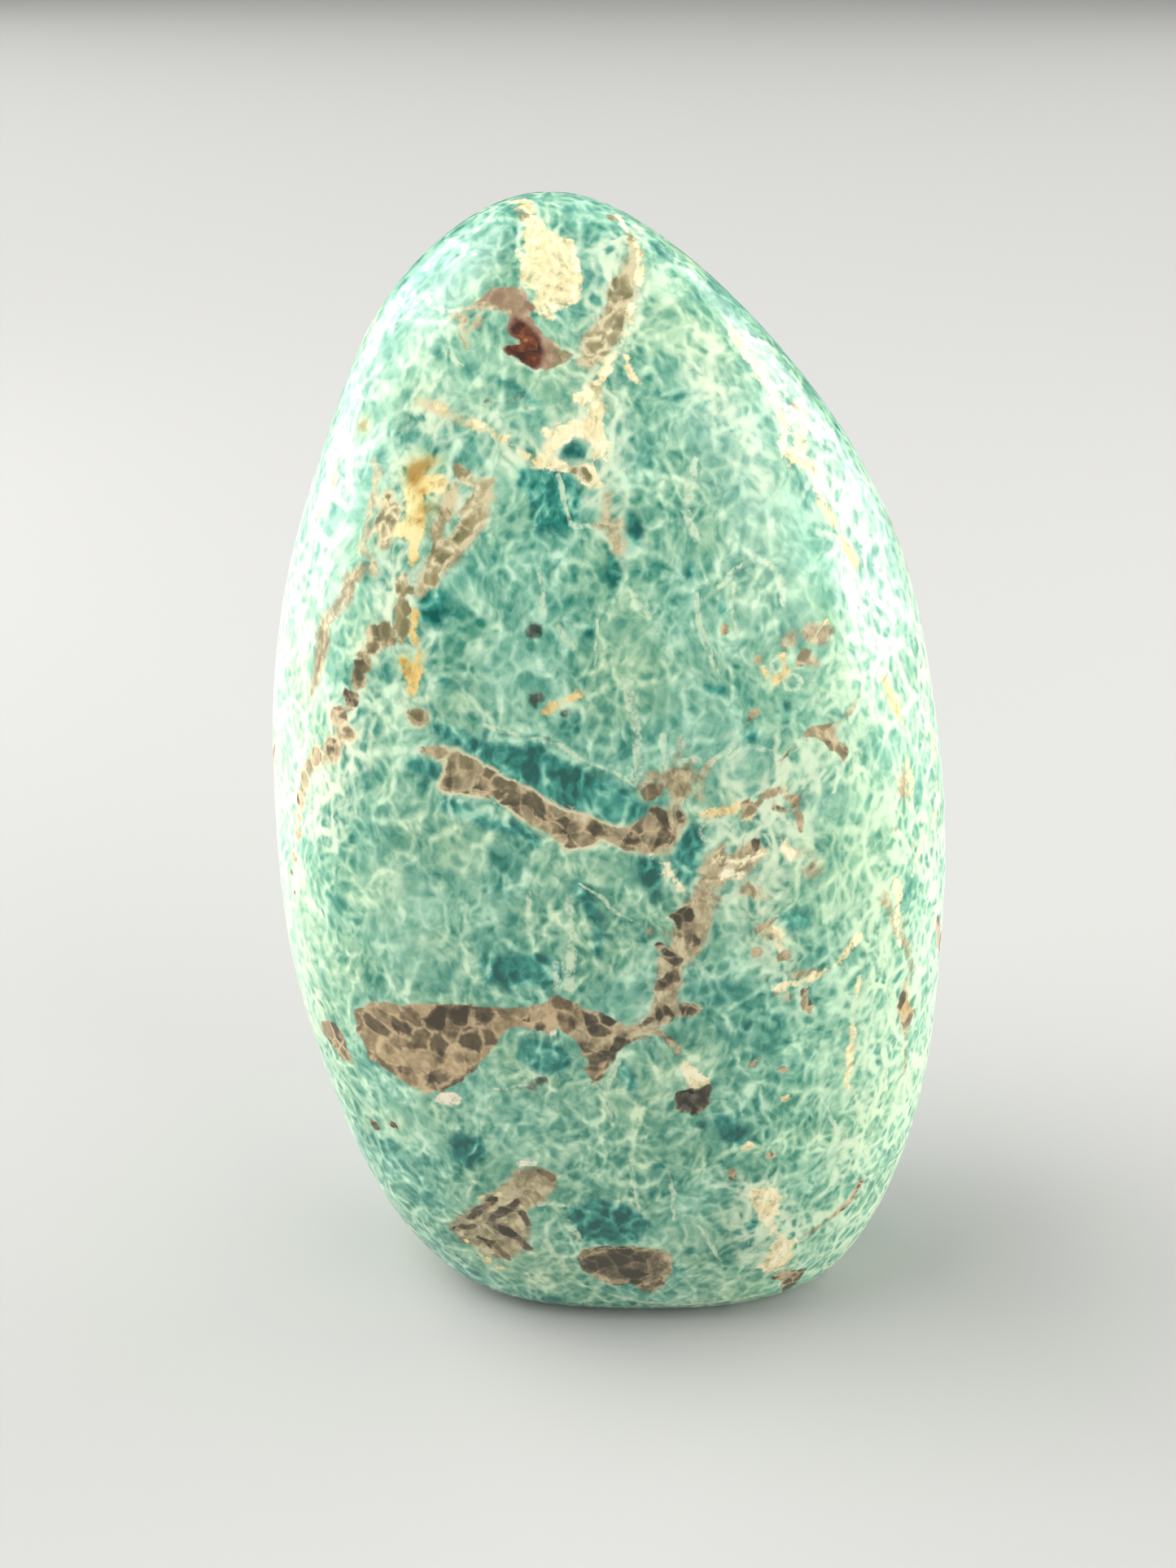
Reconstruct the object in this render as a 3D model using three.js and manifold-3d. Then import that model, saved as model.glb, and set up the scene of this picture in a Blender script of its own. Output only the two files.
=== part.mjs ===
// A polished freeform of amazonite, a blue-green feldspar veined with smoky quartz.
// It is one stone, ground to a leaning egg on a wheel, and stands on a flat sawn foot.
// Millimetres, +Z up. The broad front face looks along -Y, and the foot lies on z = 0.
import * as THREE from "three";
import { mergeVertices } from "three/addons/utils/BufferGeometryUtils.js";
import Module from "manifold-3d";

const HEIGHT = 120; // foot to tip
const TIP = { x: -11.5, y: 2.5 }; // the tip leans to the left of the foot

// The outline of the stone, from the foot up: how far it reaches to each side at each height.
const STATIONS = [
  { z: 0.0, left: -21.5, right: 20.5, front: -13.0, back: 12.0 },
  { z: 1.5, left: -24.5, right: 22.0, front: -14.8, back: 13.5 },
  { z: 5.0, left: -28.5, right: 24.6, front: -16.8, back: 16.0 },
  { z: 12.0, left: -32.5, right: 27.4, front: -19.3, back: 18.5 },
  { z: 25.0, left: -37.0, right: 30.0, front: -22.0, back: 21.0 },
  { z: 40.0, left: -40.3, right: 30.7, front: -23.5, back: 22.5 },
  { z: 55.0, left: -41.2, right: 30.2, front: -24.0, back: 23.0 },
  { z: 70.0, left: -40.7, right: 28.0, front: -22.5, back: 22.0 },
  { z: 85.0, left: -38.0, right: 24.0, front: -19.5, back: 20.0 },
  { z: 98.0, left: -33.5, right: 17.0, front: -15.0, back: 16.5 },
  { z: 108.0, left: -29.0, right: 8.5, front: -10.5, back: 13.0 },
  { z: 115.0, left: -23.0, right: 0.5, front: -6.0, back: 9.5 },
  { z: HEIGHT, left: TIP.x, right: TIP.x, front: TIP.y, back: TIP.y },
];

// A level section is |x|^n + |y|^m = 1 between those reaches: the higher n, the flatter the broad faces.
const BROADNESS = { left: 3.0, right: 2.5 };
const BROADNESS_SPAN = 0.6; // the one runs into the other between these cosines of the angle round
const EDGE_ROUNDNESS = 2.1;

// Flats that the wheel left. Azimuth 0 faces the front (-Y) and 90 the right (+X); elevation is above
// level; cut is how deep the wheel went below the round form.
const FLATS = [
  { azimuth: -6, elevation: 4, cut: 0.9 }, // front
  { azimuth: 12, elevation: 34, cut: 0.8 }, // upper front, under the tip
  { azimuth: 52, elevation: 18, cut: 0.9 }, // right shoulder
  { azimuth: -58, elevation: 6, cut: 0.7 }, // left flank
  { azimuth: 172, elevation: 3, cut: 1.0 }, // back
  { azimuth: -140, elevation: 26, cut: 0.9 }, // back, upper left
  { azimuth: 128, elevation: -8, cut: 0.8 }, // back, lower right
];
const FLAT_SOFTNESS = 0.5; // mm over which a flat runs out into the round form

// Pockets in the skin, where softer grains broke out. Azimuth is as for the flats.
const POCKETS = [
  { azimuth: 12, height: 34.5, across: 4.6, along: 3.2, depth: 0.7 }, // a smoky grain, low on the front
  { azimuth: -28, height: 18.0, across: 8.0, along: 6.0, depth: 0.6 }, // crumbled vein, low on the left
];

const RINGS = 40;
const SIDES = 64;
const POCKET_SIDES = 14;
const HALVINGS = 40; // in the search for a section's radius
const NUDGE = 0.01; // mm, and radians: the step that the skin's slope is measured over
const WELD = 1e-4; // mm: vertices closer than this are one

const radians = THREE.MathUtils.degToRad;

// The unit vector that an azimuth and an elevation point along.
function facing(azimuth, elevation) {
  const a = radians(azimuth);
  const e = radians(elevation);
  return new THREE.Vector3(Math.sin(a) * Math.cos(e), -Math.cos(a) * Math.cos(e), Math.sin(e));
}

// Near the tip the form is a round dome, so its reaches are smooth in this measure and not in z.
const climb = (z) => 1 - Math.sqrt(1 - z / HEIGHT);

// A natural cubic spline through the points (xs[i], ys[i]), as a function of x.
function spline(xs, ys) {
  const last = xs.length - 1;
  const bend = new Array(last + 1).fill(0);
  const share = new Array(last + 1).fill(0);
  for (let i = 1; i < last; i++) {
    const before = xs[i] - xs[i - 1];
    const after = xs[i + 1] - xs[i];
    const pivot = 2 * (before + after) - before * share[i - 1];
    const turn = (ys[i + 1] - ys[i]) / after - (ys[i] - ys[i - 1]) / before;
    share[i] = after / pivot;
    bend[i] = (6 * turn - before * bend[i - 1]) / pivot;
  }
  for (let i = last - 1; i > 0; i--) bend[i] -= share[i] * bend[i + 1];
  return (x) => {
    let i = 0;
    while (i < last - 1 && x > xs[i + 1]) i++;
    const span = xs[i + 1] - xs[i];
    const a = (xs[i + 1] - x) / span;
    const b = 1 - a;
    const sag = ((a ** 3 - a) * bend[i] + (b ** 3 - b) * bend[i + 1]) * span * span;
    return a * ys[i] + b * ys[i + 1] + sag / 6;
  };
}

const climbs = STATIONS.map((station) => climb(station.z));
const reach = {};
for (const side of ["left", "right", "front", "back"]) {
  reach[side] = spline(climbs, STATIONS.map((station) => station[side]));
}

// How far out a level section lies in the direction (cos, sin), where its half sizes are 1.
function sectionRadius(cos, sin) {
  const lean = THREE.MathUtils.smoothstep(cos, -BROADNESS_SPAN, BROADNESS_SPAN);
  const broadness = THREE.MathUtils.lerp(BROADNESS.left, BROADNESS.right, lean);
  let low = 0;
  let high = 2;
  for (let halving = 0; halving < HALVINGS; halving++) {
    const r = (low + high) / 2;
    const out = Math.abs(r * cos) ** broadness + Math.abs(r * sin) ** EDGE_ROUNDNESS;
    if (out > 1) high = r;
    else low = r;
  }
  return low;
}

// The round form's point at a height and an angle round it; the angle 0 is +X and 90 degrees the back.
function roundPoint(z, angle) {
  const at = climb(z);
  const [left, right, front, back] = ["left", "right", "front", "back"].map((side) => reach[side](at));
  const cos = Math.cos(angle);
  const sin = Math.sin(angle);
  const r = sectionRadius(cos, sin);
  const x = (left + right) / 2 + (r * cos * (right - left)) / 2;
  const y = (front + back) / 2 + (r * sin * (back - front)) / 2;
  return new THREE.Vector3(x, y, z);
}

// Cosine spacing puts close rings at the foot's edge and at the tip.
const ringHeight = (ring) => (HEIGHT / 2) * (1 - Math.cos((Math.PI * ring) / RINGS));
const sideAngle = (side) => (2 * Math.PI * side) / SIDES;

// The rings of the round form, foot first, without the tip.
function roundRings() {
  return Array.from({ length: RINGS }, (_, ring) =>
    Array.from({ length: SIDES }, (_, side) => roundPoint(ringHeight(ring), sideAngle(side))),
  );
}

// Each flat's plane, set below the round form's furthest point that way.
function flatPlanes(points) {
  return FLATS.map(({ azimuth, elevation, cut }) => {
    const normal = facing(azimuth, elevation);
    return { normal, offset: Math.max(...points.map((point) => point.dot(normal))) - cut };
  });
}

// Moves a point in to the planes it stands out of, softly. The foot stays level and the tip stays put.
function grind(point, planes) {
  const height = point.z;
  for (const { normal, offset } of planes) {
    const proud = (point.dot(normal) - offset) / FLAT_SOFTNESS;
    const taken = Math.max(proud, 0) + Math.log1p(Math.exp(-Math.abs(proud)));
    point.addScaledVector(normal, -taken * FLAT_SOFTNESS);
  }
  if (height === 0) point.z = 0;
  return point;
}

// The rings joined into one closed skin, with the tip above and the flat foot below.
function stoneGeometry(rings, tip) {
  const points = [...rings.flat(), tip, new THREE.Vector3(0, 0, 0)];
  const tipIndex = points.length - 2;
  const footIndex = points.length - 1;
  const triangles = [];
  const at = (ring, side) => ring * SIDES + (side % SIDES);
  for (let side = 0; side < SIDES; side++) {
    triangles.push(footIndex, at(0, side + 1), at(0, side));
    for (let ring = 0; ring < RINGS - 1; ring++) {
      triangles.push(at(ring, side), at(ring, side + 1), at(ring + 1, side + 1));
      triangles.push(at(ring, side), at(ring + 1, side + 1), at(ring + 1, side));
    }
    triangles.push(at(RINGS - 1, side), at(RINGS - 1, side + 1), tipIndex);
  }
  return new THREE.BufferGeometry().setFromPoints(points).setIndex(triangles);
}

const wasm = await Module();
wasm.setup();

// A closed three.js geometry as a manifold-3d solid.
function solidOf(geometry) {
  const bare = geometry.clone();
  bare.deleteAttribute("normal");
  bare.deleteAttribute("uv");
  const merged = mergeVertices(bare, WELD);
  return new wasm.Manifold(
    new wasm.Mesh({
      numProp: 3,
      vertProperties: new Float32Array(merged.attributes.position.array),
      triVerts: new Uint32Array(merged.index.array),
    }),
  );
}

// A manifold-3d solid as a three.js geometry.
function geometryOf(solid) {
  const mesh = solid.getMesh();
  const geometry = new THREE.BufferGeometry();
  geometry.setAttribute("position", new THREE.BufferAttribute(mesh.vertProperties, 3));
  geometry.setIndex(new THREE.BufferAttribute(mesh.triVerts, 1));
  geometry.computeVertexNormals();
  return geometry;
}

// A pocket is cut by a flattened ball, whose middle lies on the skin and whose depth is the pocket's.
function pocketSolid({ azimuth, height, across, along, depth }, planes) {
  const angle = radians(azimuth - 90);
  const centre = grind(roundPoint(height, angle), planes);
  const beside = grind(roundPoint(height, angle + NUDGE), planes).sub(centre);
  const above = grind(roundPoint(height + NUDGE, angle), planes).sub(centre);
  const out = new THREE.Vector3().crossVectors(beside, above).normalize();
  const ball = new THREE.SphereGeometry(1, POCKET_SIDES, POCKET_SIDES / 2);
  ball.scale(across / 2, along / 2, depth);
  const turn = new THREE.Matrix4().lookAt(out, new THREE.Vector3(), new THREE.Vector3(0, 0, 1));
  ball.applyMatrix4(turn);
  ball.translate(centre.x, centre.y, centre.z);
  return solidOf(ball);
}

const rings = roundRings();
const planes = flatPlanes(rings.flat());
for (const point of rings.flat()) grind(point, planes);
const tip = grind(new THREE.Vector3(TIP.x, TIP.y, HEIGHT), planes);

let solid = solidOf(stoneGeometry(rings, tip));
for (const pocket of POCKETS) solid = solid.subtract(pocketSolid(pocket, planes));

const amazonite = new THREE.MeshStandardMaterial({ color: 0x4fa795, roughness: 0.18, metalness: 0 });
const stone = new THREE.Mesh(geometryOf(solid), amazonite);
stone.name = "amazonite_stone";

const part = new THREE.Group();
part.name = "amazonite_freeform";
part.add(stone);

export default part;
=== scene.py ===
import math

import bpy
import numpy as np
from mathutils import Matrix, Vector, noise
from mathutils.bvhtree import BVHTree


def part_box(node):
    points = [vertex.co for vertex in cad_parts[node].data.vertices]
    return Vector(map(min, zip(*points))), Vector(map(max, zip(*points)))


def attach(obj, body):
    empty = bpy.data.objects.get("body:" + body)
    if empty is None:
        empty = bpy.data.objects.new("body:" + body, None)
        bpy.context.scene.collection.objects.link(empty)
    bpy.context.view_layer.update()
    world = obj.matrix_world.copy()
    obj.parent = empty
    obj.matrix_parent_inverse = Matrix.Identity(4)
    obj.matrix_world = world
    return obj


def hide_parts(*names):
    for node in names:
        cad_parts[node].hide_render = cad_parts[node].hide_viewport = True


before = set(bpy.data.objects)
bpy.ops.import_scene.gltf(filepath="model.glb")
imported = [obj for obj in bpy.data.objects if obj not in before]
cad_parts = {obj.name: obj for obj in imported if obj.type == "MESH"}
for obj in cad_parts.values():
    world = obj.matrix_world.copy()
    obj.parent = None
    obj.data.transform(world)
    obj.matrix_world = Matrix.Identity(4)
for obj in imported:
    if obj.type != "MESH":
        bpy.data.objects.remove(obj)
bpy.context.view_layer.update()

STONE_NODE = "amazonite_stone"
MM = 0.001
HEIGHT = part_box(STONE_NODE)[1].z / MM  # foot to tip


# ---------------------------------------------------------------- the ground form, as in the CAD

TIP = (-11.5, 2.5)

# height: left, right, front, back
STATIONS = {
    0.0: (-21.5, 20.5, -13.0, 12.0),
    1.5: (-24.5, 22.0, -14.8, 13.5),
    5.0: (-28.5, 24.6, -16.8, 16.0),
    12.0: (-32.5, 27.4, -19.3, 18.5),
    25.0: (-37.0, 30.0, -22.0, 21.0),
    40.0: (-40.3, 30.7, -23.5, 22.5),
    55.0: (-41.2, 30.2, -24.0, 23.0),
    70.0: (-40.7, 28.0, -22.5, 22.0),
    85.0: (-38.0, 24.0, -19.5, 20.0),
    98.0: (-33.5, 17.0, -15.0, 16.5),
    108.0: (-29.0, 8.5, -10.5, 13.0),
    115.0: (-23.0, 0.5, -6.0, 9.5),
    HEIGHT: (TIP[0], TIP[0], TIP[1], TIP[1]),
}
BROADNESS_LEFT, BROADNESS_RIGHT, BROADNESS_SPAN = 3.0, 2.5, 0.6  # a section is squarer at the left
EDGE_ROUNDNESS = 2.1
FLAT_SOFTNESS = 0.5  # mm
HALVINGS = 40  # steps of the search for a section's edge

# azimuth, elevation and cut of each flat that the wheel left
FLATS = {
    "front": (-6, 4, 0.9),
    "upper front": (12, 34, 0.8),
    "right shoulder": (52, 18, 0.9),
    "left flank": (-58, 6, 0.7),
    "back": (172, 3, 1.0),
    "back, upper left": (-140, 26, 0.9),
    "back, lower right": (128, -8, 0.8),
}
CAD_RINGS, CAD_SIDES = 40, 64  # the flats' planes are set from these points


def facing(azimuth, elevation):
    """The unit vector towards an azimuth, 0 at the front and 90 at the right, and an elevation."""
    a, e = math.radians(azimuth), math.radians(elevation)
    return np.array([math.sin(a) * math.cos(e), -math.cos(a) * math.cos(e), math.sin(e)])


def climb(z):
    """Near the tip the form is a round dome, so its reaches are smooth in this measure and not in z."""
    return 1 - np.sqrt(np.maximum(0, 1 - np.asarray(z, float) / HEIGHT))


def natural_spline(xs, ys):
    """A natural cubic spline through the points, as a function."""
    gaps = np.diff(xs)
    count = len(xs)
    rows = np.eye(count)
    turns = np.zeros(count)
    for i in range(1, count - 1):
        rows[i, i - 1 : i + 2] = gaps[i - 1], 2 * (gaps[i - 1] + gaps[i]), gaps[i]
        turns[i] = 6 * ((ys[i + 1] - ys[i]) / gaps[i] - (ys[i] - ys[i - 1]) / gaps[i - 1])
    bends = np.linalg.solve(rows, turns)

    def curve(x):
        i = np.clip(np.searchsorted(xs, x, side="right") - 1, 0, count - 2)
        span = gaps[i]
        a = (xs[i + 1] - x) / span
        b = 1 - a
        sag = ((a**3 - a) * bends[i] + (b**3 - b) * bends[i + 1]) * span * span
        return a * ys[i] + b * ys[i + 1] + sag / 6

    return curve


station_climbs = climb(list(STATIONS))
reaches = [natural_spline(station_climbs, ys) for ys in np.array(list(STATIONS.values())).T]


def smooth(x, low, high):
    """0 below low, 1 above high, and a smooth step between."""
    t = np.clip((np.asarray(x, float) - low) / (high - low), 0, 1)
    return t * t * (3 - 2 * t)


def section_radius(cos, sin):
    """How far out a level section lies in a direction, where its half sizes are 1."""
    lean = smooth(cos, -BROADNESS_SPAN, BROADNESS_SPAN)
    broadness = BROADNESS_LEFT + (BROADNESS_RIGHT - BROADNESS_LEFT) * lean
    low, high = np.zeros_like(cos), np.full_like(cos, 2.0)
    for _ in range(HALVINGS):
        r = (low + high) / 2
        outside = np.abs(r * cos) ** broadness + np.abs(r * sin) ** EDGE_ROUNDNESS > 1
        high = np.where(outside, r, high)
        low = np.where(outside, low, r)
    return low


def round_points(z, angle):
    """The round form's points at heights and angles; the angle 0 is +X and a quarter turn is the back."""
    z, angle = np.broadcast_arrays(np.asarray(z, float), np.asarray(angle, float))
    left, right, front, back = [reach(climb(z)) for reach in reaches]
    cos, sin = np.cos(angle), np.sin(angle)
    r = section_radius(cos, sin)
    x = (left + right) / 2 + r * cos * (right - left) / 2
    y = (front + back) / 2 + r * sin * (back - front) / 2
    return np.stack([x, y, z], -1)


def wheel_planes():
    """Each flat's plane, set below the round form's furthest point that way."""
    heights = HEIGHT / 2 * (1 - np.cos(np.pi * np.arange(CAD_RINGS) / CAD_RINGS))
    angles = 2 * np.pi * np.arange(CAD_SIDES) / CAD_SIDES
    points = round_points(heights[:, None], angles).reshape(-1, 3)
    planes = []
    for azimuth, elevation, cut in FLATS.values():
        normal = facing(azimuth, elevation)
        planes.append((normal, (points @ normal).max() - cut))
    return planes


def ground_points(z, angle, planes=wheel_planes()):
    """The round form's points, moved in softly to the flats that they stand out of."""
    points = round_points(z, angle)
    foot = points[..., 2] == 0
    for normal, offset in planes:
        proud = (points @ normal - offset) / FLAT_SOFTNESS
        taken = np.maximum(proud, 0) + np.log1p(np.exp(-np.abs(proud)))
        points = points - (taken * FLAT_SOFTNESS)[..., None] * normal
    points[..., 2] = np.where(foot, 0, points[..., 2])
    return points


def around(azimuth, height):
    """The point of the ground form at an azimuth round the stone and a height."""
    return ground_points(height, math.radians(azimuth - 90))


# ---------------------------------------------------------------- the fine skin

RINGS, SIDES = 286, 324  # under 200,000 triangles with the foot
FOOT_RINGS = 6
FINE_SAMPLES = 4000
BACK_SPACING = 2.0  # the back's points lie this many times further apart than the front's
TURN_TO_BACK = (-0.35, 0.15)  # where the spacing changes, as the sine of the way to the front
TOP_SPACING = 0.15  # mm from the tip to the last ring


def even_steps(values, points, weights, count):
    """Picks count of the values, with their points at even steps that are closer where weights are high."""
    steps = np.linalg.norm(np.diff(points, axis=0), axis=1) * (weights[1:] + weights[:-1]) / 2
    along = np.concatenate([[0], np.cumsum(steps)])
    return np.interp(np.linspace(0, along[-1], count), along, values)


def skin_heights():
    """The rings' heights: even steps up the front of the stone."""
    z = (HEIGHT - TOP_SPACING) / 2 * (1 - np.cos(np.pi * np.linspace(0, 1, FINE_SAMPLES)))
    profile = ground_points(z, math.radians(-90))
    return even_steps(z, profile, np.ones(FINE_SAMPLES), RINGS)


def skin_angles():
    """The sides' angles: even steps round the stone's middle, wider at the back."""
    angles = np.linspace(-1.5 * np.pi, 0.5 * np.pi, FINE_SAMPLES)  # starts and ends at the back
    middle = ground_points(HEIGHT / 2, angles)
    weights = 1 / BACK_SPACING + (1 - 1 / BACK_SPACING) * smooth(-np.sin(angles), *TURN_TO_BACK)
    return even_steps(angles, middle, weights, SIDES + 1)[:-1]


def skin_faces():
    """The faces of the ring grid, with the tip and the foot's fan, by vertex number."""
    def at(ring, side):
        return ring * SIDES + side % SIDES

    faces = []
    for ring in range(FOOT_RINGS + RINGS - 1):
        for side in range(SIDES):
            faces.append((at(ring, side), at(ring, side + 1), at(ring + 1, side + 1), at(ring + 1, side)))
    tip = (FOOT_RINGS + RINGS) * SIDES
    last = FOOT_RINGS + RINGS - 1
    for side in range(SIDES):
        faces.append((at(last, side), at(last, side + 1), tip))
        faces.append((at(0, side + 1), at(0, side), tip + 1))
    return faces


def skin_points():
    """The vertices: the foot's rings from the inside out, the sides upward, the tip, the foot's middle."""
    heights, angles = skin_heights(), skin_angles()
    sides = ground_points(heights[:, None], angles)
    tip = ground_points(HEIGHT, 0.0)[None]
    shrinks = (np.arange(FOOT_RINGS) + 1) / (FOOT_RINGS + 1)
    middle = sides[0].mean(0)
    foot = middle + (sides[0] - middle) * shrinks[:, None, None]
    return np.concatenate([foot.reshape(-1, 3), sides.reshape(-1, 3), tip, middle[None]])


def outward(points, faces):
    """Unit normals at the points, from the faces round them."""
    total = np.zeros_like(points)
    for corners in (4, 3):
        picked = np.array([face for face in faces if len(face) == corners])
        across = points[picked[:, 2]] - points[picked[:, 0]]
        along = points[picked[:, -1]] - points[picked[:, 1]]
        normals = np.cross(across, along)
        for corner in range(corners):
            np.add.at(total, picked[:, corner], normals)
    return total / np.maximum(np.linalg.norm(total, axis=1, keepdims=True), 1e-12)


# ---------------------------------------------------------------- the camera

FRAME_WIDTH, FRAME_HEIGHT = 1445, 1927
FOCAL_POINTS = 2400  # the lens's focal length, in the frame's points
SENSOR = 36.0  # mm, along the frame's long side
PITCH = math.radians(24)  # the camera looks down on the stone
AIM = np.array([-7.96, 0.0, 59.16])
DISTANCE = 208.9

ahead = np.array([0, math.cos(PITCH), -math.sin(PITCH)])
upward = np.array([0, math.sin(PITCH), math.cos(PITCH)])
eye = AIM - ahead * DISTANCE


def in_frame(points):
    """Where points of the stone lie in the frame: across from its left edge and down from its top."""
    from_eye = points - eye
    depth = from_eye @ ahead
    across = FRAME_WIDTH / 2 + FOCAL_POINTS * from_eye[..., 0] / depth
    down = FRAME_HEIGHT / 2 - FOCAL_POINTS * (from_eye @ upward) / depth
    return np.stack([across, down], -1)


# ---------------------------------------------------------------- the markings
# The markings on the front are placed by points (across, down) of the 1445 x 1927 frame, and reach the
# skin along the camera's ray. A patch is its outline. A vein is its middle line and a bead is one spot,
# each point with its half width in millimetres.


OVAL_STEPS = 14


def oval(across, down, half_across, half_down, half_width):
    """A vein that runs once round an oval."""
    points = []
    for step in range(OVAL_STEPS + 1):
        angle = 2 * math.pi * step / OVAL_STEPS
        x, y = half_across * math.cos(angle), half_down * math.sin(angle)
        points.append((across + x, down + y, half_width))
    return points


SMOKY_PATCHES = {
    "upper quartz": [
        (561, 381), (574, 378), (589, 367), (604, 352), (619, 354), (637, 352), (645, 360), (651, 369),
        (660, 377), (649, 388), (655, 396), (670, 411), (681, 420), (688, 430), (697, 433), (704, 436),
        (696, 446), (686, 447), (678, 451), (658, 456), (642, 446), (618, 431), (617, 425), (630, 423),
        (640, 420), (625, 412), (622, 404), (626, 388), (617, 379), (602, 381),
    ],
    "top vein, upper grain": [
        (772, 331), (774, 342), (779, 352), (780, 365), (767, 369), (760, 373), (756, 377), (748, 370),
        (750, 355), (757, 342),
    ],
    "top vein, lower grain": [
        (748, 392), (758, 381), (767, 384), (766, 400), (761, 418), (751, 432), (737, 440), (722, 436),
        (724, 420), (738, 408),
    ],
    "left arm": [
        (588, 590), (608, 588), (600, 602), (595, 623), (593, 638), (579, 653), (567, 666), (560, 674),
        (547, 687), (539, 697), (526, 697), (521, 684), (529, 679), (528, 664), (539, 660), (554, 664),
        (565, 656), (560, 648), (575, 638), (560, 630), (572, 615), (580, 605),
    ],
    "left chain, head": [
        (483, 619), (493, 623), (493, 636), (483, 646), (478, 659), (470, 667), (465, 653), (458, 656),
        (460, 643), (468, 630),
    ],
    "main seam, start": [(514, 920), (531, 918), (549, 923), (542, 933), (529, 930)],
    "main seam": [
        (549, 930), (561, 924), (575, 930), (590, 941), (606, 950), (623, 959), (641, 965), (659, 976),
        (680, 989), (697, 997), (714, 1002), (732, 1008), (746, 1015), (760, 1018), (778, 1014),
        (792, 1006), (799, 997), (801, 986), (810, 992), (819, 997), (822, 1011), (820, 1029),
        (818, 1041), (808, 1041), (799, 1052), (785, 1047), (767, 1043), (755, 1038), (741, 1027),
        (728, 1036), (714, 1040), (697, 1040), (680, 1032), (674, 1025), (659, 1017), (644, 1006),
        (628, 996), (613, 984), (598, 979), (583, 976), (560, 975), (542, 969), (546, 954), (549, 941),
    ],
    "crossing, dark grain": [
        (783, 975), (792, 965), (811, 961), (815, 967), (809, 980), (801, 987), (789, 984),
    ],
    "chain, top": [
        (838, 1116), (849, 1112), (853, 1125), (849, 1139), (858, 1151), (865, 1158), (861, 1165),
        (845, 1165), (838, 1144), (833, 1137), (822, 1125), (829, 1121),
    ],
    "chain, lens": [
        (801, 1158), (812, 1158), (822, 1167), (838, 1178), (833, 1190), (822, 1181), (810, 1171),
    ],
    "chain, third": [
        (822, 1195), (832, 1192), (835, 1207), (831, 1217), (805, 1217), (807, 1207), (817, 1202),
    ],
    "chain, fourth": [
        (801, 1240), (807, 1233), (817, 1237), (830, 1250), (826, 1257), (812, 1260), (805, 1252),
    ],
    "chain, side": [(835, 1232), (842, 1231), (857, 1240), (857, 1248), (842, 1251), (836, 1243)],
    "low left": [
        (433, 1239), (452, 1236), (466, 1232), (480, 1232), (491, 1236), (513, 1236), (534, 1235),
        (573, 1236), (600, 1238), (644, 1238), (672, 1236), (683, 1221), (699, 1232), (705, 1235),
        (724, 1243), (740, 1244), (754, 1254), (765, 1262), (787, 1273), (765, 1290), (757, 1295),
        (751, 1309), (743, 1325), (732, 1336), (724, 1325), (718, 1314), (724, 1306), (713, 1295),
        (710, 1281), (699, 1273), (685, 1265), (672, 1273), (658, 1268), (644, 1262), (625, 1265),
        (614, 1276), (603, 1290), (592, 1303), (581, 1320), (562, 1331), (540, 1342), (521, 1344),
        (504, 1336), (485, 1323), (466, 1309), (452, 1298), (447, 1284), (439, 1270), (433, 1246),
    ],
    "low left, at the rim": [
        (396, 1253), (411, 1259), (422, 1276), (428, 1295), (432, 1307), (419, 1301), (406, 1284),
        (395, 1265),
    ],
    "foot": [
        (711, 1548), (713, 1538), (727, 1533), (761, 1533), (792, 1533), (816, 1538), (825, 1545),
        (823, 1565), (816, 1582), (802, 1588), (789, 1586), (775, 1577), (754, 1579), (733, 1572),
        (716, 1562),
    ],
    "foot, right": [(944, 1570), (964, 1562), (990, 1560), (978, 1579), (961, 1589), (959, 1576)],
    "pocket": [
        (827, 1349), (831, 1342), (845, 1340), (850, 1339), (855, 1344), (865, 1339), (873, 1335),
        (876, 1339), (873, 1347), (871, 1357), (862, 1368), (852, 1371), (840, 1369), (831, 1359),
    ],
    "right triangle": [
        (986, 905), (988, 899), (999, 890), (1025, 888), (1028, 897), (1033, 910), (1042, 921),
        (1041, 940), (1029, 925), (1020, 918), (1012, 910), (1001, 908),
    ],
    "right, by the cream": [(981, 806), (988, 797), (999, 797), (994, 810), (983, 819), (979, 819)],
    "right gravel": [(909, 990), (920, 983), (932, 988), (925, 998), (914, 999)],
    "right low, wedge": [(953, 1181), (966, 1169), (978, 1181), (971, 1183)],
    "right low, grain": [(984, 1230), (994, 1225), (998, 1232), (996, 1245), (989, 1240)],
    "right low, dash": [(914, 1313), (927, 1304), (935, 1300), (929, 1312), (919, 1314)],
    "right low, second dash": [(952, 1314), (962, 1309), (976, 1314), (964, 1319)],
    "right edge": [
        (1114, 1212), (1106, 1222), (1103, 1237), (1108, 1252), (1114, 1267), (1121, 1255), (1124, 1242),
        (1116, 1240),
    ],
}
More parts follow.
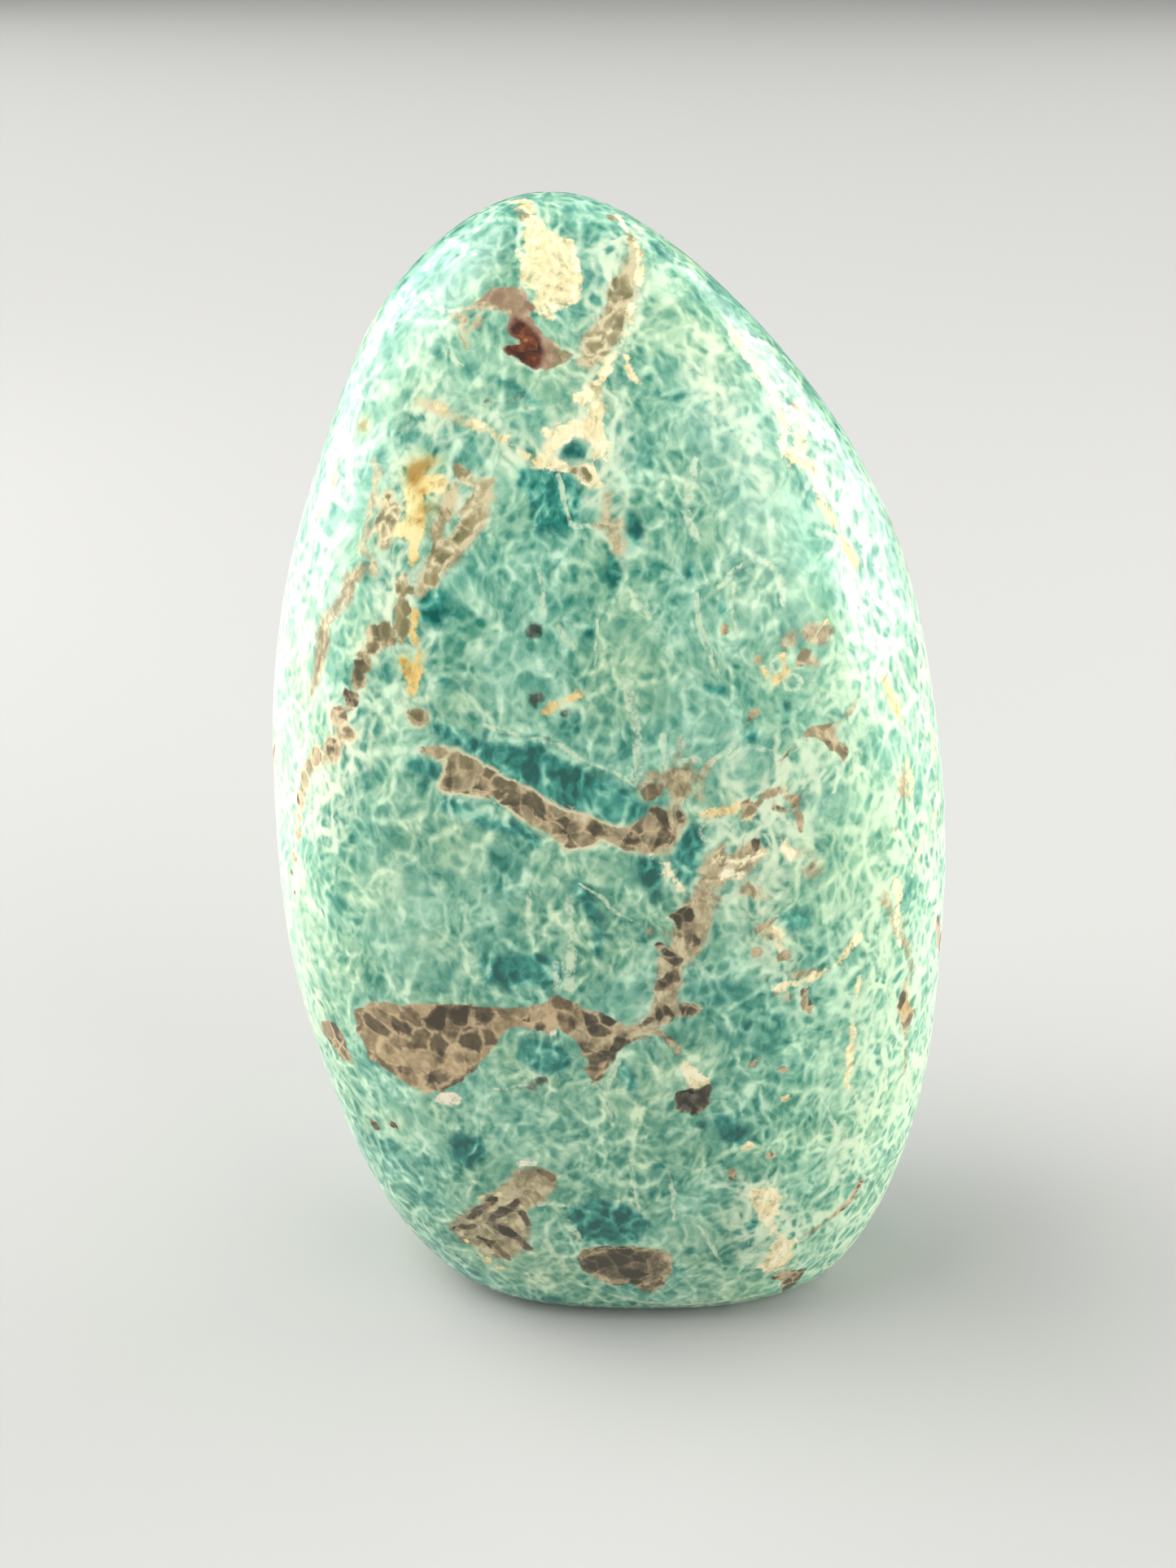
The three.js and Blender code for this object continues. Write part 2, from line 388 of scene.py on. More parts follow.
SMOKY_VEINS = {
    "chain, below": [(802, 1265, 0.25), (820, 1277, 0.3)],
    "chain, end": [(822, 1280, 0.3), (833, 1289, 0.25), (830, 1299, 0.2)],
    "from the low left to the chain": [(770, 1270, 0.35), (788, 1262, 0.3), (800, 1253, 0.3)],
    "left chain": [(493, 714, 0.6), (493, 726, 0.6)],
    "left arm, head": [(561, 575, 0.45), (569, 583, 0.6), (575, 592, 0.4)],
    "gravel, tan": [(952, 993, 0.3), (971, 998, 0.3)],
    "gravel, dark": [(982, 999, 0.3), (985, 1020, 0.25)],
    "right low, line": [(920, 1145, 0.2), (941, 1139, 0.25), (953, 1129, 0.2)],
    "foot crack": [(1057, 1455, 0.25), (1048, 1472, 0.4), (1036, 1486, 0.3)],
    "right sliver": [(914, 890, 0.2), (930, 874, 0.2)],
    "right sliver, second": [(959, 936, 0.25), (976, 918, 0.25)],
    "right sliver, third": [(934, 979, 0.2), (962, 967, 0.25)],
    "by the tree": [(692, 574, 0.25), (714, 579, 0.25), (722, 587, 0.25)],
    "crumbled, slit": [(600, 1504, 0.45), (616, 1493, 0.6), (635, 1481, 0.45)],
    "crumbled, second slit": [(606, 1508, 0.45), (627, 1520, 0.6), (649, 1535, 0.45)],
    "crumbled, third slit": [(574, 1501, 0.45), (590, 1490, 0.55), (605, 1477, 0.4)],
    "crumbled, low slit": [(588, 1525, 0.45), (606, 1534, 0.55), (622, 1546, 0.45)],
    "crumbled, left": [(558, 1513, 0.5), (578, 1511, 0.5)],
    "crumbled, head": [(664, 1441, 0.5), (676, 1448, 0.6)],
    "crumbled, middle": [(641, 1494, 0.45), (650, 1507, 0.45)],
    "crossing, core": [(806, 998, 0.6), (812, 1016, 0.8), (822, 1034, 0.6)],
    "crossing, side": [(834, 1000, 0.3), (838, 1008, 0.4)],
    "right arc": [(936, 978, 0.2), (960, 975, 0.25), (978, 986, 0.25)],
    "band, brown core": [(917, 1045, 0.25), (929, 1036, 0.35), (923, 1049, 0.25)],
}
SMOKY_BEADS = {
    "left arm": [(530, 711, 0.8)],
    "left chain": [
        (474, 611, 0.35), (503, 725, 0.3), (493, 750, 0.9), (494, 768, 0.9), (473, 778, 0.9),
        (482, 786, 0.6), (457, 774, 0.6), (493, 789, 0.5), (458, 793, 0.7), (445, 815, 0.95),
        (438, 836, 0.9), (431, 858, 0.95), (415, 878, 1.0), (426, 901, 0.8), (408, 921, 1.1),
        (388, 930, 0.9), (374, 958, 0.7), (368, 984, 0.7), (367, 1005, 0.5), (366, 1025, 0.6),
        (361, 1055, 0.5), (357, 1073, 0.5), (361, 1096, 0.4),
    ],
    "main seam": [(513, 882, 1.0)],
    "tip": [
        (775, 288, 0.4), (775, 295, 0.45), (751, 266, 0.45), (645, 266, 0.5), (638, 254, 0.4),
        (721, 426, 0.3),
    ],
    "right": [(914, 1003, 0.3), (890, 773, 0.5), (931, 810, 0.35), (976, 983, 0.4)],
    "right low": [(948, 1153, 0.35), (930, 1171, 0.5), (954, 1222, 0.4), (989, 1219, 0.35)],
    "lower right": [(945, 1421, 0.5), (899, 1441, 0.4), (899, 1449, 0.4)],
    "lower left": [(460, 1383, 0.85), (482, 1384, 0.5)],
}
DARK_PATCHES = {
    # The pocket's quartz is darkened as painted shade in its hollow.
    "pocket": SMOKY_PATCHES["pocket"],
    "low left": [(528, 1239), (576, 1235), (574, 1259), (559, 1276), (545, 1272), (526, 1259)],
    "crossing": SMOKY_PATCHES["crossing, dark grain"],
    "rust, head": [(596, 374), (612, 354), (636, 353), (652, 374), (642, 386), (620, 378)],
    "foot": [(716, 1548), (760, 1536), (812, 1540), (820, 1556), (800, 1578), (760, 1572), (724, 1562)],
}
SLITS = (
    "crumbled, slit", "crumbled, second slit", "crumbled, third slit", "crumbled, low slit",
    "crumbled, left", "crumbled, head", "crumbled, middle",
)
DARK_VEINS = {name: SMOKY_VEINS[name] for name in SLITS}
DARK_BEADS = {
    "main seam": [
        (557, 962, 0.75), (554, 943, 0.5), (616, 963, 0.6), (626, 966, 0.6), (634, 990, 0.5),
        (700, 1022, 0.75), (695, 1007, 0.45), (514, 881, 0.55), (735, 1020, 0.5), (786, 1034, 0.5),
    ],
    "low left": [
        (663, 1262, 0.45), (718, 1286, 0.7), (746, 1295, 0.9), (748, 1254, 0.6), (590, 1250, 0.4),
        (704, 1256, 0.5), (728, 1264, 0.5), (762, 1274, 0.5), (730, 1310, 0.5), (690, 1250, 0.3),
        (505, 1288, 0.6), (540, 1300, 0.6), (476, 1290, 0.5), (566, 1300, 0.5), (530, 1326, 0.5),
        (470, 1246, 0.4), (500, 1316, 0.4), (620, 1248, 0.45),
    ],
    "upper quartz": [(693, 438, 0.9), (628, 430, 0.45), (640, 433, 0.4)],
    "crumbled": [
        (606, 1493, 0.45), (623, 1489, 0.4), (630, 1500, 0.4), (582, 1489, 0.4), (568, 1514, 0.5),
        (606, 1514, 0.4), (623, 1527, 0.4), (594, 1534, 0.4), (675, 1444, 0.4),
    ],
    "foot": [
        (802, 1580, 0.5), (740, 1548, 0.8), (764, 1546, 0.7), (788, 1548, 0.6), (726, 1560, 0.5),
        (808, 1550, 0.5),
    ],
    "lower left": [(462, 1386, 0.5), (483, 1384, 0.5)],
    "left arm": [
        (596, 598, 0.4), (574, 646, 0.4), (560, 662, 0.4), (544, 688, 0.4), (528, 672, 0.4),
        (572, 620, 0.3),
    ],
    "left": [
        (493, 750, 0.9), (494, 768, 0.9), (472, 777, 0.9), (459, 799, 0.4), (445, 815, 0.9),
        (438, 834, 0.8), (431, 856, 0.8), (426, 901, 0.5), (410, 922, 0.4), (530, 711, 0.7),
        (540, 680, 0.5), (513, 882, 0.6), (496, 722, 0.6),
    ],
    "top vein": [
        (762, 348, 0.5), (755, 366, 0.5), (771, 358, 0.6), (762, 390, 0.5), (762, 404, 0.5),
        (754, 418, 0.4), (775, 292, 0.4), (750, 266, 0.4),
    ],
    "chain": [
        (840, 1128, 1.0), (848, 1152, 0.6), (822, 1170, 0.6), (830, 1182, 0.4), (820, 1206, 0.8),
        (814, 1246, 0.6), (845, 1241, 0.4),
    ],
    "crossing": [(816, 1014, 0.5), (806, 1034, 0.4)],
}
# Pits, carved into the skin and also coloured dark in their hollows as painted shade.
PITS = {
    "upper": (657, 776, 0.8),
    "middle": (659, 860, 0.7),
    "middle, right": (695, 877, 0.4),
    "middle, small": (674, 911, 0.25),
    "low left crack": (664, 1329, 0.6),
    "low left crack, middle": (655, 1337, 0.45),
    "low left crack, tail": (636, 1337, 0.2),
    "low left crack, end": (617, 1340, 0.14),
    "brow": (598, 495, 0.22),
    "brow, crack": (624, 493, 0.14),
    "brow, crack, middle": (633, 488, 0.15),
    "brow, crack, end": (641, 485, 0.12),
    "brow, second crack": (645, 503, 0.17),
    "brow, second crack, end": (653, 509, 0.14),
}
PIT_PATCHES = {"pocket": SMOKY_PATCHES["pocket"]}
TAN_PATCHES = {
    "crumbled": [
        (632, 1440), (655, 1434), (678, 1440), (683, 1460), (668, 1478), (652, 1486), (646, 1500),
        (654, 1520), (642, 1542), (612, 1549), (588, 1538), (566, 1526), (549, 1508), (562, 1494),
        (585, 1484), (600, 1468), (618, 1455),
    ],
    "crossing": [
        (800, 996), (812, 990), (826, 996), (842, 1000), (846, 1012), (836, 1026), (828, 1046),
        (808, 1054), (797, 1042), (800, 1015),
    ],
    "crossing, haze": [
        (806, 950), (826, 944), (846, 938), (858, 948), (852, 966), (842, 984), (828, 988), (820, 972),
        (812, 962),
    ],
    "band": [
        (858, 1070), (868, 1050), (890, 1036), (891, 1052), (907, 1043), (920, 1034), (930, 1031),
        (939, 1050), (932, 1063), (916, 1077), (897, 1082), (884, 1093), (874, 1091),
    ],
    "band, foot": [(870, 1093), (877, 1091), (887, 1105), (874, 1112)],
    "under the band": [(918, 1082), (932, 1091), (950, 1109), (907, 1098)],
    "right": [(960, 797), (962, 784), (973, 775), (981, 775), (981, 784), (975, 795)],
    "right, head": [
        (981, 778), (990, 767), (1012, 764), (1022, 768), (1028, 778), (1018, 790), (1000, 794),
        (988, 788),
    ],
    "right, tail": [(981, 806), (990, 800), (1004, 806), (1012, 818), (1000, 820), (988, 814)],
    "tree": [(742, 602), (752, 605), (751, 623), (750, 641), (739, 638), (739, 618)],
    "right edge": [(1105, 958), (1111, 947), (1117, 953), (1113, 992), (1105, 973)],
}
TAN_VEINS = {
    "by the rust": [(558, 386, 0.3), (571, 392, 0.35), (565, 408, 0.35), (573, 425, 0.25)],
    "by the rust, second": [(590, 387, 0.3), (583, 400, 0.35), (571, 410, 0.3)],
    "crossing, brow": [
        (786, 969, 0.3), (803, 953, 0.5), (817, 956, 0.55), (830, 955, 0.5), (842, 945, 0.35),
        (852, 935, 0.25),
    ],
    "crossing, fall": [(830, 955, 0.4), (829, 975, 0.3), (830, 990, 0.35), (835, 1002, 0.5)],
    "crossing, right fall": [(872, 938, 0.35), (861, 955, 0.3), (860, 970, 0.3), (862, 982, 0.25)],
    "crossing, top": [(835, 908, 0.2), (836, 918, 0.25), (830, 933, 0.3), (826, 948, 0.4)],
    "swirl": [
        (971, 1051, 0.25), (983, 1046, 0.25), (997, 1053, 0.3), (1011, 1065, 0.2), (997, 1077, 0.3),
        (983, 1070, 0.25),
    ],
    "left smear": [
        (442, 700, 0.8), (430, 714, 1.0), (425, 732, 0.8), (410, 750, 0.6), (398, 764, 0.8),
        (396, 786, 1.0), (392, 805, 0.9), (388, 828, 0.7), (382, 854, 0.3),
    ],
    "far left": [
        (459, 565, 0.3), (463, 582, 0.4), (461, 602, 0.4), (452, 638, 0.4), (450, 659, 0.4),
        (442, 674, 0.4), (455, 687, 0.4), (459, 704, 0.5),
    ],
    "left rim": [(410, 564, 0.7), (408, 587, 0.9), (400, 600, 0.9), (399, 613, 0.9), (391, 630, 0.6)],
    "tree, root": [(733, 646, 0.35), (745, 646, 0.4), (760, 643, 0.4), (752, 653, 0.5), (760, 674, 0.65)],
    "right edge": [(1087, 1100, 0.3), (1102, 1142, 0.5), (1114, 1160, 0.4), (1121, 1194, 0.4)],
    "right triangle, tail": [(1029, 890, 0.25), (1044, 875, 0.3), (1060, 849, 0.2)],
    "right low": [(976, 1200, 0.4), (1006, 1195, 0.35)],
    "right edge, spindle": [(1115, 1203, 0.4), (1108, 1235, 0.8), (1114, 1268, 0.5)],
    "right edge, thread": [(1114, 1267, 0.25), (1113, 1289, 0.2), (1112, 1319, 0.15)],
    "left chain, low": [
        (417, 880, 0.9), (422, 900, 0.6), (410, 920, 1.0), (396, 932, 0.8), (382, 934, 0.8),
        (374, 958, 0.9), (368, 990, 0.6),
    ],
    "left chain, link": [(482, 784, 0.5), (465, 796, 0.6), (450, 800, 0.5)],
    "chain": [
        (868, 1082, 0.8), (866, 1104, 1.3), (852, 1130, 1.8), (846, 1160, 1.6), (824, 1184, 1.4),
        (822, 1210, 1.2), (816, 1240, 1.3), (800, 1262, 0.9), (782, 1268, 0.9),
    ],
    "chain, side": [(836, 1244, 0.8), (852, 1242, 0.7)],
    "foot crack": [(1058, 1452, 0.55), (1045, 1475, 0.5), (1025, 1494, 0.35), (988, 1519, 0.2)],
    "brow": [(512, 492, 0.3), (536, 500, 0.5), (556, 513, 0.5), (590, 524, 0.3)],
    "top vein, bed": [
        (776, 294, 0.35), (780, 312, 0.6), (772, 336, 0.8), (765, 362, 1.2), (754, 390, 1.2),
        (741, 412, 1.3), (726, 436, 1.1), (726, 448, 0.7), (714, 446, 0.5),
    ],
    "left arm": [(598, 604, 0.8), (586, 640, 0.9), (562, 668, 1.1), (538, 692, 1.1), (516, 724, 0.7)],
    "left arm, inner": [(556, 600, 0.6), (548, 630, 0.8), (536, 655, 0.7)],
    "left, outer": [(476, 610, 0.7), (478, 640, 1.1), (470, 668, 0.7)],
}
TAN_BEADS = {
    "right rim": [
        (1110, 944, 0.35), (1112, 975, 0.3), (1122, 1038, 0.35), (1129, 1056, 0.25), (1085, 1108, 0.4),
        (1111, 1138, 0.35), (1115, 1158, 0.3), (1100, 1018, 0.3), (1137, 905, 0.3),
    ],
    "right band": [
        (998, 584, 0.4), (1027, 645, 0.5), (1053, 692, 0.55), (978, 500, 0.5), (988, 520, 0.6),
    ],
    "cream, lower right": [(978, 1050, 0.5), (998, 1066, 0.5), (969, 1227, 0.4), (945, 1480, 0.4)],
    "chain": [(799, 1146, 0.4), (819, 1148, 0.35)],
    "crumbled": [(658, 1452, 0.6), (640, 1470, 0.5)],
}
CREAM_PATCHES = {
    "top": [
        (646, 250), (656, 258), (662, 272), (672, 284), (688, 288), (706, 300), (716, 318), (718, 338),
        (715, 358), (704, 372), (690, 376), (682, 390), (668, 388), (655, 376), (660, 356), (644, 350),
        (638, 334), (636, 316), (646, 300), (640, 276),
    ],
    "tree, upper": [
        (704, 480), (742, 480), (740, 490), (752, 503), (742, 516), (747, 541), (747, 562), (732, 572),
        (726, 560), (727, 545), (716, 536), (700, 538), (690, 545), (680, 558), (673, 559), (668, 531),
        (681, 518), (716, 513), (724, 493),
    ],
    "tree, lower": [
        (655, 574), (648, 562), (673, 559), (684, 568), (700, 572), (716, 572), (732, 572), (740, 602),
        (716, 592), (704, 582), (688, 580),
    ],
    "left": [
        (520, 582), (549, 582), (549, 600), (524, 608), (519, 633), (519, 659), (514, 674), (504, 664),
        (483, 659), (486, 646), (493, 633), (498, 608), (506, 595),
    ],
    "foot, right": [
        (916, 1465), (937, 1458), (957, 1460), (964, 1472), (954, 1489), (950, 1503), (961, 1514),
        (978, 1527), (975, 1545), (964, 1558), (944, 1564), (933, 1558), (940, 1545), (947, 1534),
        (956, 1520), (940, 1507), (930, 1489), (923, 1479),
    ],
    "above the pocket": [(835, 1304), (855, 1314), (876, 1334), (850, 1339), (842, 1337)],
}
CREAM_VEINS = {
    "right, edge": [(1004, 766, 0.15), (1018, 766, 0.15)],
    "right rim": [(1140, 868, 0.1), (1146, 905, 0.35), (1150, 936, 0.1)],
    "right rim, second": [(1151, 962, 0.1), (1152, 988, 0.4), (1146, 1016, 0.15)],
    "right rim, third": [(1134, 1010, 0.1), (1130, 1046, 0.35), (1122, 1076, 0.1)],
    "right rim, low": [(1098, 1076, 0.3), (1106, 1100, 0.7), (1102, 1132, 0.5), (1108, 1158, 0.15)],
    "tip": [(627, 248, 0.4), (640, 245, 0.5), (654, 262, 0.4), (665, 280, 0.6)],
    "top vein": [(758, 262, 0.3), (768, 278, 0.35), (782, 300, 0.3), (786, 320, 0.3), (785, 345, 0.25)],
    "top vein, down": [
        (774, 374, 0.3), (774, 398, 0.25), (764, 424, 0.25), (746, 442, 0.4), (739, 467, 0.45),
    ],
    "tree, link": [(739, 467, 0.4), (729, 475, 0.6), (716, 488, 0.5), (709, 490, 0.4)],
    "left, stem": [(509, 664, 0.5), (509, 689, 0.4)],
    "left, strip": [(509, 755, 0.3), (507, 778, 0.45), (511, 796, 0.2)],
    "left, lower": [(512, 803, 0.3), (515, 818, 0.6), (509, 836, 0.5), (505, 856, 0.15)],
    "left, lower side": [(494, 806, 0.2), (499, 822, 0.35), (503, 838, 0.3)],
    "middle": [(669, 874, 0.3), (688, 864, 0.4), (710, 854, 0.4)],
    "low left, white": [(544, 1352, 0.75), (558, 1350, 0.8)],
    "top vein, fork": [(770, 437, 0.3), (774, 452, 0.35), (788, 474, 0.3)],
    "lower right": [(910, 1410, 0.4), (921, 1410, 0.4)],
    "crossing": [(861, 997, 0.4), (883, 1000, 0.45), (902, 997, 0.4), (907, 990, 0.4)],
    "band, left": [(796, 1050, 0.25), (818, 1064, 0.25), (828, 1084, 0.25), (845, 1096, 0.35)],
    "band, top": [(866, 1064, 0.2), (890, 1054, 0.35), (914, 1060, 0.3), (936, 1048, 0.25)],
    "band, foot": [(872, 1082, 0.35), (892, 1072, 0.4), (908, 1076, 0.3)],
    "band, lower right": [(962, 1030, 0.25), (968, 1044, 0.3), (976, 1060, 0.25)],
    "right band": [
        (904, 413, 0.6), (919, 437, 0.5), (929, 451, 0.6), (943, 472, 0.5), (951, 482, 0.5),
        (962, 523, 0.6), (962, 549, 0.6), (974, 565, 0.6), (1002, 576, 0.5), (1006, 611, 0.45),
        (1027, 645, 0.45), (1039, 670, 0.5), (1053, 692, 0.4),
    ],
    "right band, side": [(984, 492, 0.4), (994, 515, 0.5), (984, 547, 0.7)],
    "right net": [(1056, 1204, 0.2), (1050, 1245, 0.25), (1047, 1290, 0.45), (1040, 1335, 0.4)],
    "right edge": [(1083, 828, 0.3), (1094, 850, 0.7), (1104, 875, 0.6), (1112, 895, 0.2)],
    "right edge, middle": [(1116, 934, 0.1), (1120, 965, 0.4), (1121, 990, 0.1)],
    "beads' net": [
        (936, 821, 0.35), (946, 832, 0.35), (955, 836, 0.4), (968, 823, 0.35), (962, 806, 0.3),
    ],
    "right low": [(938, 1150, 0.3), (948, 1142, 0.45), (959, 1164, 0.45)],
    "right low, line": [(954, 1215, 0.3), (1004, 1200, 0.35), (1029, 1185, 0.3), (1056, 1150, 0.25)],
    "brow": [
        (536, 497, 0.2), (562, 513, 0.28), (590, 523, 0.15), (622, 544, 0.28), (646, 561, 0.3),
        (684, 576, 0.2),
    ],
    "crumbled, head": [(640, 1430, 0.4), (658, 1430, 0.4)],
}
CREAM_BEADS = {
    "low": [(680, 1270, 0.45), (967, 1349, 0.45), (1045, 1287, 0.55), (1044, 1334, 0.55)],
    "gravel": [(966, 972, 0.5), (916, 1004, 0.4)],
    "crumbled": [
        (589, 1472, 0.35), (613, 1469, 0.35), (637, 1486, 0.35), (600, 1550, 0.5), (613, 1558, 0.45),
        (590, 1543, 0.35), (574, 1528, 0.3), (622, 1506, 0.3),
    ],
    "low left": [(478, 1272, 0.35), (496, 1290, 0.35), (566, 1270, 0.35), (640, 1246, 0.3)],
    "lower right": [(951, 1421, 0.25)],
}
THREADS = {
    "shoulder": [(520, 365, 0.2), (543, 383, 0.25), (561, 381, 0.2)],
    "cheek": [(550, 429, 0.25), (563, 447, 0.25)],
    "cheek, lower": [(543, 460, 0.25), (530, 475, 0.25)],
    "crossing": [(721, 935, 0.13), (750, 948, 0.18), (787, 967, 0.22)],
    "over the wedge": [(600, 893, 0.2), (640, 905, 0.2), (690, 918, 0.25), (721, 935, 0.15)],
    "crossing, down": [(716, 1089, 0.1), (740, 1104, 0.2), (756, 1122, 0.15), (780, 1133, 0.1)],
    "spine": [(773, 842, 0.4), (774, 868, 0.45), (782, 900, 0.4), (785, 930, 0.35), (784, 962, 0.3)],
    "crossing, second spine": [(815, 908, 0.25), (817, 935, 0.3), (825, 950, 0.3)],
    "crossing, over": [(842, 935, 0.2), (857, 932, 0.25), (875, 938, 0.25), (890, 925, 0.2)],
    "crossing, under": [(842, 985, 0.25), (852, 994, 0.3), (864, 1003, 0.25)],
    "crossing cell": oval(880, 1022, 21, 14, 0.2),
    "right arc, inner": [(940, 992, 0.2), (960, 999, 0.25), (970, 1012, 0.2)],
    "rust edge": [(621, 435, 0.1), (638, 447, 0.16), (656, 455, 0.2), (677, 451, 0.2), (704, 440, 0.15)],
    "foot crack": [(1016, 1522, 0.2), (1042, 1496, 0.3), (1062, 1466, 0.35), (1070, 1448, 0.3)],
    "upper right": [(854, 569, 0.25), (848, 596, 0.35), (844, 625, 0.35), (854, 659, 0.3)],
    "right": [(857, 735, 0.2), (862, 781, 0.3), (867, 786, 0.3), (880, 824, 0.2)],
    "middle": [(780, 735, 0.25), (796, 755, 0.3)],
    "hair": [(734, 768, 0.12), (732, 812, 0.12)],
    "left": [(663, 704, 0.2), (668, 750, 0.2)],
    "left, lower": [(688, 773, 0.25), (701, 794, 0.25)],
    "tree, root": [(701, 646, 0.25), (729, 646, 0.25)],
    "upright": [(700, 1106, 0.3), (703, 1160, 0.4), (700, 1213, 0.4)],
    "upright, short": [(683, 1187, 0.25), (683, 1213, 0.25)],
    "upright, left": [(650, 1101, 0.2), (650, 1126, 0.2)],
    "foot, left": [(699, 1503, 0.3), (716, 1534, 0.35)],
    "foot, lower left": [(671, 1527, 0.3), (699, 1562, 0.3)],
    "foot, across": [(665, 1480, 0.25), (699, 1482, 0.2)],
    "round grain": [
        (899, 930, 0.15), (908, 921, 0.2), (927, 917, 0.25), (948, 925, 0.25), (960, 945, 0.2),
    ],
    "round grain, foot": [(958, 962, 0.15), (946, 981, 0.25), (925, 984, 0.2)],
    "oval grain": [
        (886, 718, 0.25), (905, 700, 0.3), (928, 686, 0.35), (947, 694, 0.3), (960, 716, 0.35),
        (963, 745, 0.2),
    ],
    "oval grain, left": [(903, 722, 0.15), (898, 745, 0.2), (906, 778, 0.2)],
    "big grain": [
        (968, 925, 0.2), (984, 911, 0.3), (1006, 908, 0.3), (1026, 925, 0.25), (1034, 948, 0.3),
        (1026, 969, 0.2),
    ],
    "bead": oval(956, 819, 8, 8, 0.2),
    "bead, second": oval(974, 838, 10, 10, 0.2),
    "band's eye": oval(936, 1036, 10, 10, 0.2),
    "low left, inner": [
        (439, 1262, 0.2), (474, 1262, 0.25), (491, 1279, 0.25), (502, 1301, 0.25), (524, 1303, 0.15),
    ],
    "low left, second": [(515, 1262, 0.2), (534, 1276, 0.25), (559, 1280, 0.25), (573, 1260, 0.2)],
    "tree's side": [(688, 588, 0.2), (694, 620, 0.2), (701, 646, 0.2)],
    "right net": [
        (1056, 1204, 0.25), (1050, 1245, 0.3), (1048, 1283, 0.3), (1043, 1335, 0.3), (1061, 1361, 0.25),
        (1082, 1366, 0.25),
    ],
    "right net, side": [(1085, 1292, 0.25), (1090, 1330, 0.25), (1082, 1366, 0.2)],
    "right net, low": [(1010, 1350, 0.2), (1035, 1402, 0.3), (1066, 1418, 0.3), (1082, 1366, 0.25)],
    "low, upright": [(822, 1444, 0.15), (826, 1470, 0.25), (828, 1496, 0.15)],
    "low, second": [(776, 1430, 0.15), (780, 1460, 0.25), (784, 1486, 0.15)],
    "low, third": [(860, 1510, 0.15), (874, 1530, 0.25), (884, 1548, 0.15)],
    "foot rim": [
        (752, 1592, 0.2), (790, 1600, 0.3), (831, 1604, 0.35), (880, 1600, 0.35), (935, 1591, 0.25),
    ],
    "from the low left": [(760, 1300, 0.3), (742, 1345, 0.3), (752, 1380, 0.2)],
    "low left, thread": [(606, 1340, 0.12), (620, 1339, 0.18), (633, 1335, 0.16), (650, 1336, 0.15)],
}
DEEP_PATCHES = {
    "brow": [
        (632, 574), (660, 572), (700, 578), (714, 600), (710, 640), (690, 656), (664, 642), (650, 612),
        (636, 598),
    ],
    "brow, lower": [(651, 636), (672, 630), (674, 648), (667, 659)],
    "left": [(514, 725), (549, 725), (545, 771), (516, 768)],
    "crossing": [(780, 1054), (800, 1052), (814, 1064), (812, 1084), (796, 1090), (782, 1076)],
    "crossing, right": [
        (826, 1042), (836, 1022), (852, 1010), (864, 1028), (864, 1056), (854, 1080), (845, 1094),
        (834, 1080), (826, 1062),
    ],
    "below the low left": [(555, 1392), (590, 1398), (600, 1420), (575, 1438), (552, 1424)],
    "low left, notch": [
        (640, 1275), (664, 1278), (690, 1284), (702, 1300), (690, 1322), (660, 1318), (634, 1300),
    ],
    "above the low left": [(590, 1180), (640, 1172), (690, 1180), (694, 1206), (640, 1214), (596, 1208)],
    "wedge": [
        (566, 902), (600, 912), (640, 918), (680, 928), (715, 945), (750, 960), (785, 980), (797, 996),
        (780, 1012), (745, 1010), (712, 998), (680, 984), (640, 960), (600, 944), (572, 924),
    ],
    "over the seam": [(696, 978), (739, 974), (780, 984), (786, 1004), (750, 1012), (712, 1000)],
    "by the pocket": [(874, 1364), (899, 1372), (918, 1394), (912, 1416), (890, 1402), (878, 1384)],
    "tree": [(726, 496), (744, 494), (746, 518), (744, 544), (734, 538), (729, 515)],
    "foot": [(696, 1486), (730, 1474), (770, 1480), (795, 1500), (786, 1524), (744, 1530), (708, 1522)],
    "right low": [(955, 1123), (994, 1120), (996, 1138), (973, 1144)],
}
DEEP_VEINS = {
    "brow, faint": [(600, 462, 0.05), (632, 474, 0.2), (660, 496, 0.15), (668, 520, 0.05)],
    "wedge": [
        (534, 890, 0.4), (560, 905, 0.6), (600, 932, 0.9), (640, 952, 1.1), (680, 974, 1.2),
        (712, 992, 1.0),
    ],
    "wedge, streak": [(655, 912, 0.7), (658, 945, 0.9), (676, 970, 1.0)],
    "under the seam": [(549, 989, 0.8), (585, 1004, 0.7), (646, 1025, 0.5), (656, 1038, 0.5)],
    "left of the seam": [(510, 940, 0.8), (542, 952, 0.8)],
    "crossing, tail": [(806, 1089, 0.4), (808, 1107, 0.35)],
    "upright, right": [(710, 1092, 0.8), (722, 1112, 0.6), (735, 1130, 0.5), (736, 1172, 0.5)],
    "leaf": [(776, 634, 0.5), (780, 655, 0.7), (774, 677, 0.5)],
    "leaf, second": [(752, 685, 0.5), (754, 713, 0.5)],
    "low": [(765, 1314, 0.7), (776, 1336, 0.7)],
    "right leaf": [(966, 864, 0.25), (966, 888, 0.25)],
    "right leaf, second": [(872, 849, 0.5), (888, 849, 0.5)],
}
DEEP_BEADS = {
    "left": [(547, 905, 0.6), (547, 839, 0.5), (540, 1216, 0.5), (628, 1213, 0.6)],
    "low": [
        (866, 1384, 0.6), (810, 1434, 0.6), (907, 1369, 0.5), (917, 1265, 0.6), (923, 1507, 0.7),
        (833, 1562, 0.7), (847, 1538, 0.6),
    ],
    "middle": [
        (849, 702, 0.5), (890, 742, 0.45), (890, 752, 0.45), (724, 776, 0.5), (923, 905, 0.8),
        (844, 1024, 0.5), (706, 554, 0.9),
    ],
}
